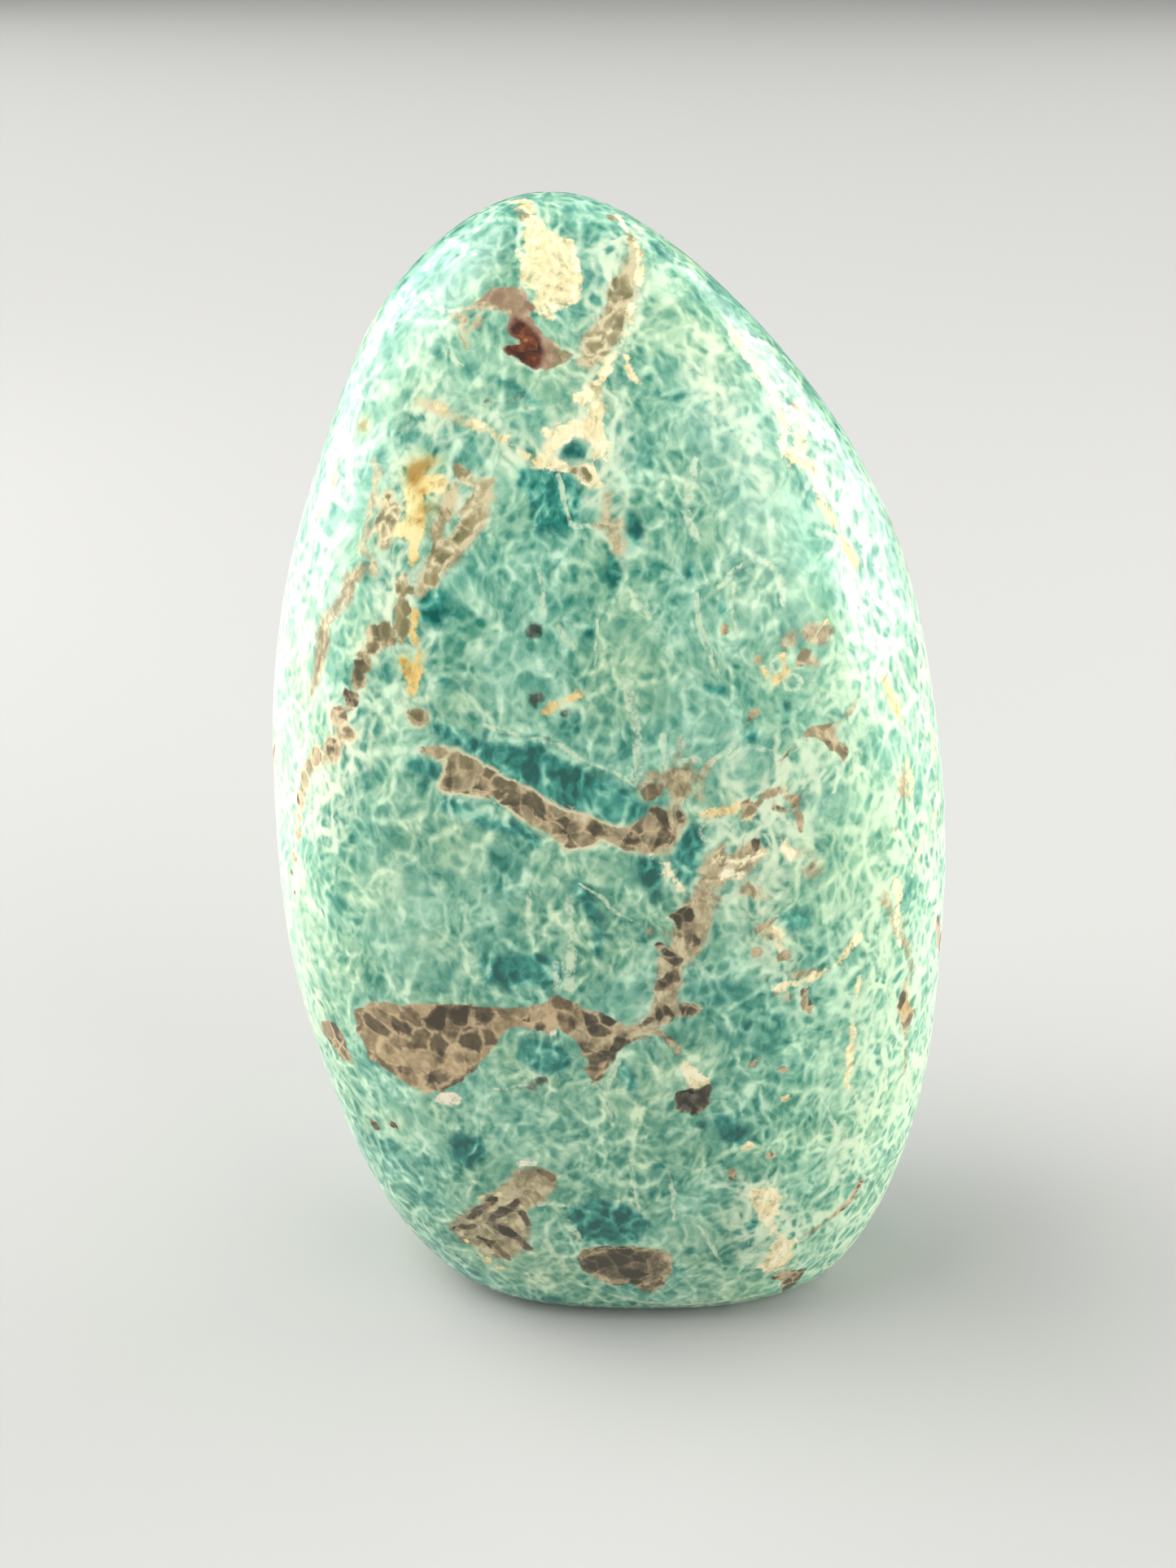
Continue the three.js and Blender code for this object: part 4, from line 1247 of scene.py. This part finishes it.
def polished_amazonite():
    """Amazonite, a green microcline laced with paler albite, with smoky quartz, iron stain and white
    albite in its seams, ground and polished to a deep gloss with a slight orange peel."""
    material = bpy.data.materials.new("polished_amazonite")
    material.use_nodes = True
    tree = material.node_tree
    tree.nodes.clear()

    # Millimetres on the stone, bent by a slow drift and a quick one so that no grain keeps a straight side.
    place = put(tree, "TexCoord").node.outputs["Object"]
    place = put(tree, "VectorMath", (place, 1 / MM), operation="SCALE")
    along = put(tree, "SeparateXYZ", (place,)).node.outputs
    slow = put(tree, "TexNoise", {"Vector": place, "Scale": 1 / SLOW_BEND_SIZE, "Detail": 1.0})
    slow = slow.node.outputs["Color"]
    drift = put(tree, "VectorMath", (slow, (SLOW_BEND,) * 3, place), operation="MULTIPLY_ADD")
    quick = put(tree, "TexNoise", {"Vector": place, "Scale": 1 / QUICK_BEND_SIZE, "Detail": 1.0})
    quick = quick.node.outputs["Color"]
    bent = put(tree, "VectorMath", (quick, (QUICK_BEND,) * 3, drift), operation="MULTIPLY_ADD")
    upright = put(tree, "VectorMath", (bent, (1.0, 1.0, UPRIGHT)), operation="MULTIPLY")

    # The lace: soft pale walls of albite round grains of microcline, in three sizes that come and go. The
    # real one goes on below a tenth of a millimetre; the finest here, of 0.9 mm, is as coarse as shows.
    here = put(tree, "TexNoise", {"Vector": drift, "Scale": 1 / LACE_AREA, "Detail": 1.0})
    here = put(tree, "SeparateColor", (here.node.outputs["Color"],)).node.outputs
    lace = 0.0
    for size, feature, start, end, channel, strength in LACE_SIZES:
        wall = put(tree, "TexVoronoi", {"Vector": upright, "Scale": 1 / size}, feature=feature)
        wall = put(tree, "MapRange", (wall, start, end, 0.0, strength), **SMOOTH)
        share = put(tree, "MapRange", (here[channel], 0.38, 0.6, 0.2, 1.0), **SMOOTH)
        lace = put(tree, "Math", (wall, share, lace), **TIMES_PLUS)
    cloud = put(tree, "TexNoise", {"Vector": upright, "Scale": 1 / CLOUD, "Detail": 3.0, "Roughness": 0.6})
    grain = put(tree, "TexVoronoi", {"Vector": upright, "Scale": 1 / FELDSPAR_GRAIN}, feature="F1")
    grain = put(tree, "SeparateColor", (grain.node.outputs["Color"],)).node.outputs
    crumb = put(tree, "TexVoronoi", {
        "Vector": upright, "Scale": 1 / CRUMB, "Smoothness": 0.6,
    }, feature="SMOOTH_F1")
    crumb = put(tree, "SeparateColor", (crumb.node.outputs["Color"],))
    puff = put(tree, "TexNoise", {"Vector": bent, "Scale": 1 / PUFF, "Detail": 1.0})
    zone = put(tree, "TexNoise", {"Vector": place, "Scale": 1 / ZONE, "Detail": 1.0})

    # Tone from 0, deep green, to 1, pale.
    tone = put(tree, "Math", (cloud, 0.5, lace), **TIMES_PLUS)
    tone = put(tree, "Math", (crumb, 0.28, tone), **TIMES_PLUS)
    tone = put(tree, "Math", (puff, 0.26, tone), **TIMES_PLUS)
    tone = put(tree, "Math", (zone, 0.3, tone), **TIMES_PLUS)
    tone = put(tree, "Math", (grain["Red"], 0.12, tone), **TIMES_PLUS)
    tone = put(tree, "Math", (tone, 0.47), **MINUS)
    deeper = put(tree, "MapRange", (along["Z"], 72.0, 58.0, 0.01, 0.045), **SMOOTH)
    tone = put(tree, "Math", (tone, deeper), **MINUS)
    front = put(tree, "MapRange", (along["Y"], -5.0, 3.0, 1.0, 0.0), **SMOOTH)
    # Painted shade: the left flank behind the middle is darkened a little, so that it does not burn out
    # where the left softbox lights it.
    flank = put(tree, "MapRange", (along["X"], -24.0, -33.0, 0.0, 0.13), **SMOOTH)
    behind = put(tree, "Math", (1.0, front), **MINUS)
    flank = put(tree, "Math", (flank, behind), **TIMES)
    tone = put(tree, "Math", (tone, flank), **MINUS)
    ragged = put(tree, "TexNoise", {
        "Vector": place, "Scale": 1 / RAGGED_EDGE, "Detail": 4.0, "Roughness": 0.62,
    })
    ragged = put(tree, "Math", (ragged, 0.5), **MINUS)
    # Frost and sheen: paler clouds of the stone's own, the pale patches, which are partly painted sheen,
    # and the painted sheen on the margins below.
    frost_and_sheen = put(tree, "TexNoise", {"Vector": drift, "Scale": 1 / FROST_AREA, "Detail": 2.0})
    frost_and_sheen = put(tree, "MapRange", (frost_and_sheen, 0.5, 0.66, 0.0, 0.22), **SMOOTH)
    pale = put(tree, "Attribute", **PALE)
    pale = put(tree, "MapRange", (pale, -SOFT_EDGE, SOFT_EDGE / 2, 0.32, 0.0), **SMOOTH)
    frost_and_sheen = put(tree, "Math", (frost_and_sheen, pale), operation="MAXIMUM")
    # Painted sheen: the fronts of the left and right margins are paled, standing in for the softboxes'
    # reflections in the polish; on the right it fades out towards the top.
    left = put(tree, "MapRange", (along["X"], -33.0, -39.5, 0.0, 0.5), **SMOOTH)
    left = put(tree, "Math", (left, front), **TIMES)
    right = put(tree, "MapRange", (along["X"], 12.0, 23.0, 0.0, 0.2), **SMOOTH)
    right = put(tree, "Math", (right, front), **TIMES)
    below = put(tree, "MapRange", (along["Z"], 92.0, 76.0, 0.2, 1.0), **SMOOTH)
    right = put(tree, "Math", (right, below), **TIMES)
    frost_and_sheen = put(tree, "Math", (frost_and_sheen, left), operation="MAXIMUM")
    frost_and_sheen = put(tree, "Math", (frost_and_sheen, right), operation="MAXIMUM")
    tone = put(tree, "Mix", (frost_and_sheen, tone, 0.95))
    colour = put(tree, "ValToRGB", (tone,), stops={
        0.0: "#17695A", 0.15: "#357F6C", 0.36: "#669F88", 0.55: "#8DB99D", 0.75: "#B0D1B3", 1.0: "#D6EBCB",
    })
    tint = put(tree, "ValToRGB", (zone.node.outputs["Color"],), stops={0.38: "#DCFBFF", 0.62: "#FFFEF0"})
    colour = put(tree, "Mix", (0.6, colour, tint), blend_type="MULTIPLY", **COLOURS)

    # Where the lace carries more albite it turns cream. On the fronts of the left and right margins the
    # same cream is added as painted sheen.
    veil_and_sheen = put(tree, "Math", (ragged, 4.0, put(tree, "Attribute", **VEIL)), **TIMES_PLUS)
    veil_and_sheen = put(tree, "MapRange", (veil_and_sheen, -SOFT_EDGE, SOFT_EDGE / 2, 1.0, 0.0), **SMOOTH)
    rich = put(tree, "Math", (cloud, 0.6, lace), **TIMES_PLUS)
    rich = put(tree, "MapRange", (rich, 0.26, 0.8, 0.0, 0.72), **SMOOTH)
    veil_and_sheen = put(tree, "Math", (left, 1.6, veil_and_sheen), **TIMES_PLUS)
    veil_and_sheen = put(tree, "Math", (right, 5.0, veil_and_sheen), **TIMES_PLUS)
    veil_and_sheen = put(tree, "Math", (veil_and_sheen, 1.0), operation="MINIMUM")
    veil_and_sheen = put(tree, "Math", (veil_and_sheen, rich), **TIMES)
    colour = put(tree, "Mix", (veil_and_sheen, colour, linear("#E0E6C6")), **COLOURS)

    # Pockets of unveined microcline, a saturated teal.
    purer = put(tree, "MapRange", (along["X"], 2.0, 20.0, 0.0, 0.9), **SMOOTH)
    colour = put(tree, "Mix", (purer, colour, linear("#F0FFFA")), blend_type="MULTIPLY", **COLOURS)
    deep = put(tree, "Math", (ragged, 1.5, put(tree, "Attribute", **DEEP)), **TIMES_PLUS)
    deep = put(tree, "MapRange", (deep, -0.4, 0.6, 0.92, 0.0), **SMOOTH)
    teal = put(tree, "ValToRGB", (tone,), stops={
        0.25: "#00524A", 0.48: "#197B6F", 0.7: "#4FA48F", 0.95: "#9FD0B4",
    })
    colour = put(tree, "Mix", (deep, colour, teal), **COLOURS)

    # Pale threads of albite along cracks, crisp in places and lost in others.
    beside = put(tree, "Math", (ragged, 5.0, put(tree, "Attribute", **THREAD_SIDE)), **TIMES_PLUS)
    beside = put(tree, "Math", (beside,), operation="ABSOLUTE")
    thread = put(tree, "MapRange", (beside, 0.6, 1.6, 1.0, 0.0), **SMOOTH)
    near = put(tree, "MapRange", (put(tree, "Attribute", **THREAD_AWAY), 0.45, 0.7, 1.0, 0.0), **SMOOTH)
    thread = put(tree, "Math", (thread, near), **TIMES)
    crisp = put(tree, "MapRange", (cloud, 0.36, 0.6, 0.15, 0.75), **SMOOTH)
    thread = put(tree, "Math", (thread, crisp), **TIMES)
    colour = put(tree, "Mix", (thread, colour, linear("#D3E3C2")), **COLOURS)

    # Feldspar stained tan along the seams, in grains that are larger low on the left.
    coarse = put(tree, "MapRange", (along["X"], -8.0, -10.0, 0.0, 1.0))
    low = put(tree, "MapRange", (along["Z"], 56.0, 54.0, 0.0, 1.0))
    coarse = put(tree, "Math", (coarse, low), **TIMES)
    low = put(tree, "MapRange", (along["Z"], 22.0, 24.0, 0.0, 1.0))
    coarse = put(tree, "Math", (coarse, low), **TIMES)
    small = {"Vector": bent, "Scale": 1 / QUARTZ_GRAIN}
    large = {"Vector": bent, "Scale": 1 / LOW_QUARTZ_GRAIN}
    cells = put(tree, "TexVoronoi", small, feature="F1").node.outputs["Color"]
    large_cells = put(tree, "TexVoronoi", large, feature="F1").node.outputs["Color"]
    cells = put(tree, "Mix", (coarse, cells, large_cells), **COLOURS)
    cell = put(tree, "SeparateColor", (cells,)).node.outputs
    stained = put(tree, "Math", (ragged, 1.7, put(tree, "Attribute", **TAN)), **TIMES_PLUS)
    stained = put(tree, "MapRange", (stained, -0.5, 0.45, 0.9, 0.0), **SMOOTH)
    tan = put(tree, "Math", (cell["Blue"], 0.3, cloud), **TIMES_PLUS)
    lighter = put(tree, "MapRange", (along["Z"], 84.0, 96.0, 0.0, 0.16), **SMOOTH)
    tan = put(tree, "Math", (tan, lighter), **PLUS)
    tan = put(tree, "ValToRGB", (tan,), stops={0.44: "#7A6848", 0.62: "#A5906B", 0.84: "#D3C198"})
    colour = put(tree, "Mix", (stained, colour, tan), **COLOURS)

    # White to cream albite, sugary and crumbly at its edges.
    cream = put(tree, "Math", (ragged, 2.2, put(tree, "Attribute", **CREAM)), **TIMES_PLUS)
    cream = put(tree, "Math", (grain["Green"], 0.4, cream), **TIMES_PLUS)
    cream = put(tree, "MapRange", (cream, -0.05, 0.4, 1.0, 0.0), **SMOOTH)
    thick = put(tree, "MapRange", (cloud, 0.28, 0.46, 0.4, 1.0), **SMOOTH)
    cream = put(tree, "Math", (cream, thick), **TIMES)
    albite = put(tree, "Math", (grain["Blue"], 0.22, cloud), **TIMES_PLUS)
    albite = put(tree, "ValToRGB", (albite,), stops={
        0.38: "#C4AE7E", 0.52: "#E4D6A4", 0.66: "#F3E8BC", 0.8: "#FAF2D2",
    })
    duller = put(tree, "MapRange", (along["X"], -10.0, -22.0, 0.0, 1.0), **SMOOTH)
    albite = put(tree, "Mix", (duller, albite, linear("#F8F1DA")), blend_type="MULTIPLY", **COLOURS)
    yellower = put(tree, "MapRange", (along["Z"], 62.0, 68.0, 0.0, 1.0))
    under_tip = put(tree, "MapRange", (along["Z"], 94.0, 88.0, 0.0, 1.0))
    yellower = put(tree, "Math", (yellower, under_tip), **TIMES)
    albite = put(tree, "Mix", (yellower, albite, linear("#F4E7CB")), blend_type="MULTIPLY", **COLOURS)
    whiter = put(tree, "Math", (coarse, 0.6), **TIMES)
    albite = put(tree, "Mix", (whiter, albite, linear("#F4ECE0")), **COLOURS)
    colour = put(tree, "Mix", (cream, colour, albite), **COLOURS)

    # Smoky quartz in interlocking grains of the same sizes, with pale joints and a broken rim of albite.
    joint = put(tree, "TexVoronoi", small, feature="DISTANCE_TO_EDGE")
    wider = put(tree, "TexVoronoi", large, feature="DISTANCE_TO_EDGE")
    joint = put(tree, "Mix", (coarse, joint, wider))
    smoky = put(tree, "Math", (ragged, 0.9, put(tree, "Attribute", **SMOKY)), **TIMES_PLUS)
    smoky = put(tree, "Math", (cell["Red"], 0.35, smoky), **TIMES_PLUS)
    smoky = put(tree, "Math", (smoky, 0.17), **MINUS)
    rim = put(tree, "MapRange", (smoky, 0.1, 0.6, 1.0, 0.0), **SMOOTH)
    broken = put(tree, "MapRange", (here["Blue"], 0.38, 0.52, 0.25, 1.0), **SMOOTH)
    rim = put(tree, "Math", (rim, broken), **TIMES)
    for axis, start, end, strength in RIM_REACHES:
        only = put(tree, "MapRange", (along[axis], start, end, *strength), **SMOOTH)
        rim = put(tree, "Math", (rim, only), **TIMES)
    colour = put(tree, "Mix", (rim, colour, linear("#DDD3AC")), **COLOURS)
    calm = put(tree, "MapRange", (coarse, 0.0, 1.0, 0.0, 0.2))
    mottle = put(tree, "Mix", (calm, cloud, 0.5))
    shade = put(tree, "Math", (mottle, 1.0, -0.4), **TIMES_PLUS)
    shade = put(tree, "Math", (cell["Green"], 0.8, shade), **TIMES_PLUS)
    paler = put(tree, "MapRange", (along["Z"], 56.0, 92.0, -0.06, 0.1), **SMOOTH)
    shade = put(tree, "Math", (shade, paler), **PLUS)
    dark = put(tree, "Math", (ragged, 1.4, put(tree, "Attribute", **DARK)), **TIMES_PLUS)
    dark = put(tree, "MapRange", (dark, -0.3, 0.5, 1.0, 0.0), **SMOOTH)
    shade = put(tree, "Math", (dark, -0.34, shade), **TIMES_PLUS)
    quartz = put(tree, "ValToRGB", (shade,), stops={
        0.0: "#403A2A", 0.3: "#6A5F46", 0.55: "#938565", 0.8: "#BCAB87", 1.0: "#DED0AD",
    })
    high = put(tree, "MapRange", (along["Z"], 78.0, 88.0, 0.0, 1.0), **SMOOTH)
    wide = put(tree, "Math", (high, 0.13, 0.15), **TIMES_PLUS)
    joint = put(tree, "MapRange", (joint, 0.0, wide, 0.8, 0.0), **SMOOTH)
    open_joint = put(tree, "MapRange", (cloud, 0.38, 0.56, 0.2, 1.0), **SMOOTH)
    open_joint = put(tree, "Math", (open_joint, calm), operation="MAXIMUM")
    joint = put(tree, "Math", (joint, open_joint), **TIMES)
    olive = put(tree, "MapRange", (along["Z"], 62.0, 84.0, 0.0, 0.55), **SMOOTH)
    inner = put(tree, "MapRange", (along["X"], -31.0, -25.0, 0.1, 1.0), **SMOOTH)
    olive = put(tree, "Math", (olive, inner), **TIMES)
    quartz = put(tree, "Mix", (olive, quartz, linear("#8B865B")), **COLOURS)
    warm = put(tree, "Math", (coarse, 0.45), **TIMES)
    quartz = put(tree, "Mix", (warm, quartz, linear("#F8DFCA")), blend_type="MULTIPLY", **COLOURS)
    plain = put(tree, "MapRange", (dark, 0.0, 1.0, 1.0, 0.2), **SMOOTH)
    joint = put(tree, "Math", (joint, plain), **TIMES)
    filling = put(tree, "Mix", (high, linear("#C9B189"), linear("#E9DEB4")), **COLOURS)
    quartz = put(tree, "Mix", (joint, quartz, filling), **COLOURS)
    rust = put(tree, "Math", (ragged, 1.2, put(tree, "Attribute", **RUST)), **TIMES_PLUS)
    rosy = put(tree, "MapRange", (rust, 0.2, 1.8, 0.8, 0.0), **SMOOTH)
    quartz = put(tree, "Mix", (rosy, quartz, linear("#98705E")), **COLOURS)
    rust = put(tree, "MapRange", (rust, -0.3, 0.55, 0.95, 0.0), **SMOOTH)
    iron = put(tree, "Math", (cell["Blue"], 0.36, cloud), **TIMES_PLUS)
    iron = put(tree, "ValToRGB", (iron,), stops={
        0.56: "#2A0C02", 0.76: "#54230A", 0.92: "#7A3F1C", 1.0: "#A06C40",
    })
    quartz = put(tree, "Mix", (rust, quartz, iron), **COLOURS)
    within = put(tree, "MapRange", (smoky, -0.1, 0.18, 1.0, 0.0), **SMOOTH)
    colour = put(tree, "Mix", (within, colour, quartz), **COLOURS)

    # Pits where a grain broke out, coloured dark as painted shade in their hollows on top of their carved
    # depth, and ochre where iron has soaked in.
    pit = put(tree, "Math", (ragged, 1.8, put(tree, "Attribute", **PIT)), **TIMES_PLUS)
    pit = put(tree, "MapRange", (pit, -0.3, 0.25, 0.85, 0.0), **SMOOTH)
    painted_pit_shade = put(tree, "ValToRGB", (cloud,), stops={0.4: "#2A2D25", 0.52: "#3F4338", 0.66: "#6E6B58"})
    colour = put(tree, "Mix", (pit, colour, painted_pit_shade), **COLOURS)
    ochre = put(tree, "Math", (ragged, 1.2, put(tree, "Attribute", **OCHRE)), **TIMES_PLUS)
    yellowed = put(tree, "MapRange", (ochre, 0.0, 1.5, 0.5, 0.0), **SMOOTH)
    colour = put(tree, "Mix", (yellowed, colour, linear("#FFEBB4")), blend_type="MULTIPLY", **COLOURS)
    ochre = put(tree, "MapRange", (ochre, -0.6, 0.6, 0.85, 0.0), **SMOOTH)
    colour = put(tree, "Mix", (ochre, colour, linear("#A3761E")), **COLOURS)

    # The polish: glossy feldspar, duller albite and pits. The real orange peel is a few micrometres deep,
    # and it is drawn deeper so that it shows.
    dull = put(tree, "Math", (cream, pit), operation="MAXIMUM")
    dull = put(tree, "MapRange", (dull, 0.0, 1.0, POLISHED, SUGARY), **SMOOTH)
    peel = put(tree, "TexNoise", {"Vector": place, "Scale": 1 / ORANGE_PEEL_SIZE, "Detail": 2.0})
    bump = put(tree, "Bump", {"Strength": 0.3, "Distance": ORANGE_PEEL * MM, "Height": peel})
    surface = put(tree, "BsdfPrincipled", {
        "Base Color": colour, "Roughness": dull, "IOR": MICROCLINE_IOR, "Normal": bump,
    })
    put(tree, "OutputMaterial", {"Surface": surface})
    return material


def studio_paper():
    """Matt pale paper, which gives the stone a soft contact shadow and no pattern."""
    material = bpy.data.materials.new("studio_paper")
    material.use_nodes = True
    shader = material.node_tree.nodes["Principled BSDF"]
    shader.inputs["Base Color"].default_value = linear("#ADACA9")
    shader.inputs["Roughness"].default_value = 1.0
    shader.inputs["Specular IOR Level"].default_value = 0.15
    return material


# ---------------------------------------------------------------- the studio

FLOOR_SIZE = 40.0  # metres
ROOM_DIM, ROOM_CEILING, ROOM_WALLS = 0.12, 0.66, 0.4  # brightness

# azimuth, elevation, distance, width and height in metres, watts, and whether the polish mirrors it
SOFTBOXES = {
    "left_softbox": (-112, 14, 3.0, 4.0, 4.0, 152, True),
    "right_softbox": (50, 26, 3.0, 1.9, 2.25, 35, True),
    "right_back_softbox": (112, 18, 3.0, 3.2, 2.5, 82, True),
    "top_softbox": (-80, 56, 3.0, 2.2, 2.2, 75, True),
    "left_low_softbox": (-104, 2, 0.5, 0.5, 0.1, 1.6, False),
    "right_low_softbox": (92, 2, 0.5, 0.5, 0.1, 1.5, False),
}


def studio_floor():
    """One level sheet that reaches far past the stone on every side."""
    half = FLOOR_SIZE / 2
    corners = [(-half, -half, 0), (half, -half, 0), (half, half, 0), (-half, half, 0)]
    mesh = bpy.data.meshes.new("studio_floor")
    mesh.from_pydata(corners, [], [(0, 1, 2, 3)])
    mesh.materials.append(studio_paper())
    floor = bpy.data.objects.new("studio_floor", mesh)
    bpy.context.scene.collection.objects.link(floor)
    return floor


def softbox(name, azimuth, elevation, distance, width, height, power, glints):
    """A soft light that looks at the stone's middle; azimuth 0 is on the camera's side, 90 at its right."""
    target = Vector((0, 0, HEIGHT * MM / 2))
    place = target + Vector(facing(azimuth, elevation)) * distance
    light = bpy.data.lights.new(name, "AREA")
    light.shape = "RECTANGLE"
    light.size, light.size_y = width, height
    light.energy = power
    lamp = bpy.data.objects.new(name, light)
    lamp.location = place
    lamp.rotation_euler = (target - place).to_track_quat("-Z", "Y").to_euler()
    lamp.visible_glossy = glints
    bpy.context.scene.collection.objects.link(lamp)


def studio_world():
    """A pale room: its ceiling is the brightest, then its side walls."""
    world = bpy.data.worlds.new("pale_room")
    world.use_nodes = True
    tree = world.node_tree
    way = put(tree, "TexCoord").node.outputs["Generated"]
    way = put(tree, "SeparateXYZ", (way,)).node.outputs
    ceiling = put(tree, "MapRange", (way["Z"], 0.1, 0.9, ROOM_DIM, ROOM_CEILING), **SMOOTH)
    sideways = put(tree, "Math", (way["X"],), operation="ABSOLUTE")
    walls = put(tree, "MapRange", (sideways, 0.5, 0.95, 0.0, ROOM_WALLS), **SMOOTH)
    light = put(tree, "Math", (ceiling, walls), **PLUS)
    room = tree.nodes["Background"]
    room.inputs["Color"].default_value = linear("#F2F4F5")
    tree.links.new(light, room.inputs["Strength"])
    bpy.context.scene.world = world


def studio_camera():
    """The camera, which looks down on the stone's front."""
    data = bpy.data.cameras.new("camera")
    data.sensor_width = SENSOR
    data.lens = FOCAL_POINTS * SENSOR / FRAME_HEIGHT
    data.clip_start, data.clip_end = 0.01, 50
    camera = bpy.data.objects.new("camera", data)
    sideways = np.cross(ahead, upward)
    turn = Matrix((sideways, upward, -ahead)).transposed()
    camera.matrix_world = Matrix.Translation(Vector(eye * MM)) @ turn.to_4x4()
    bpy.context.scene.collection.objects.link(camera)
    bpy.context.scene.camera = camera


stone = stone_object()
stone.data.materials.append(polished_amazonite())
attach(stone, "root")
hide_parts(STONE_NODE)

studio_floor()
studio_world()
for name, measures in SOFTBOXES.items():
    softbox(name, *measures)
studio_camera()
bpy.context.scene.view_settings.view_transform = "Standard"
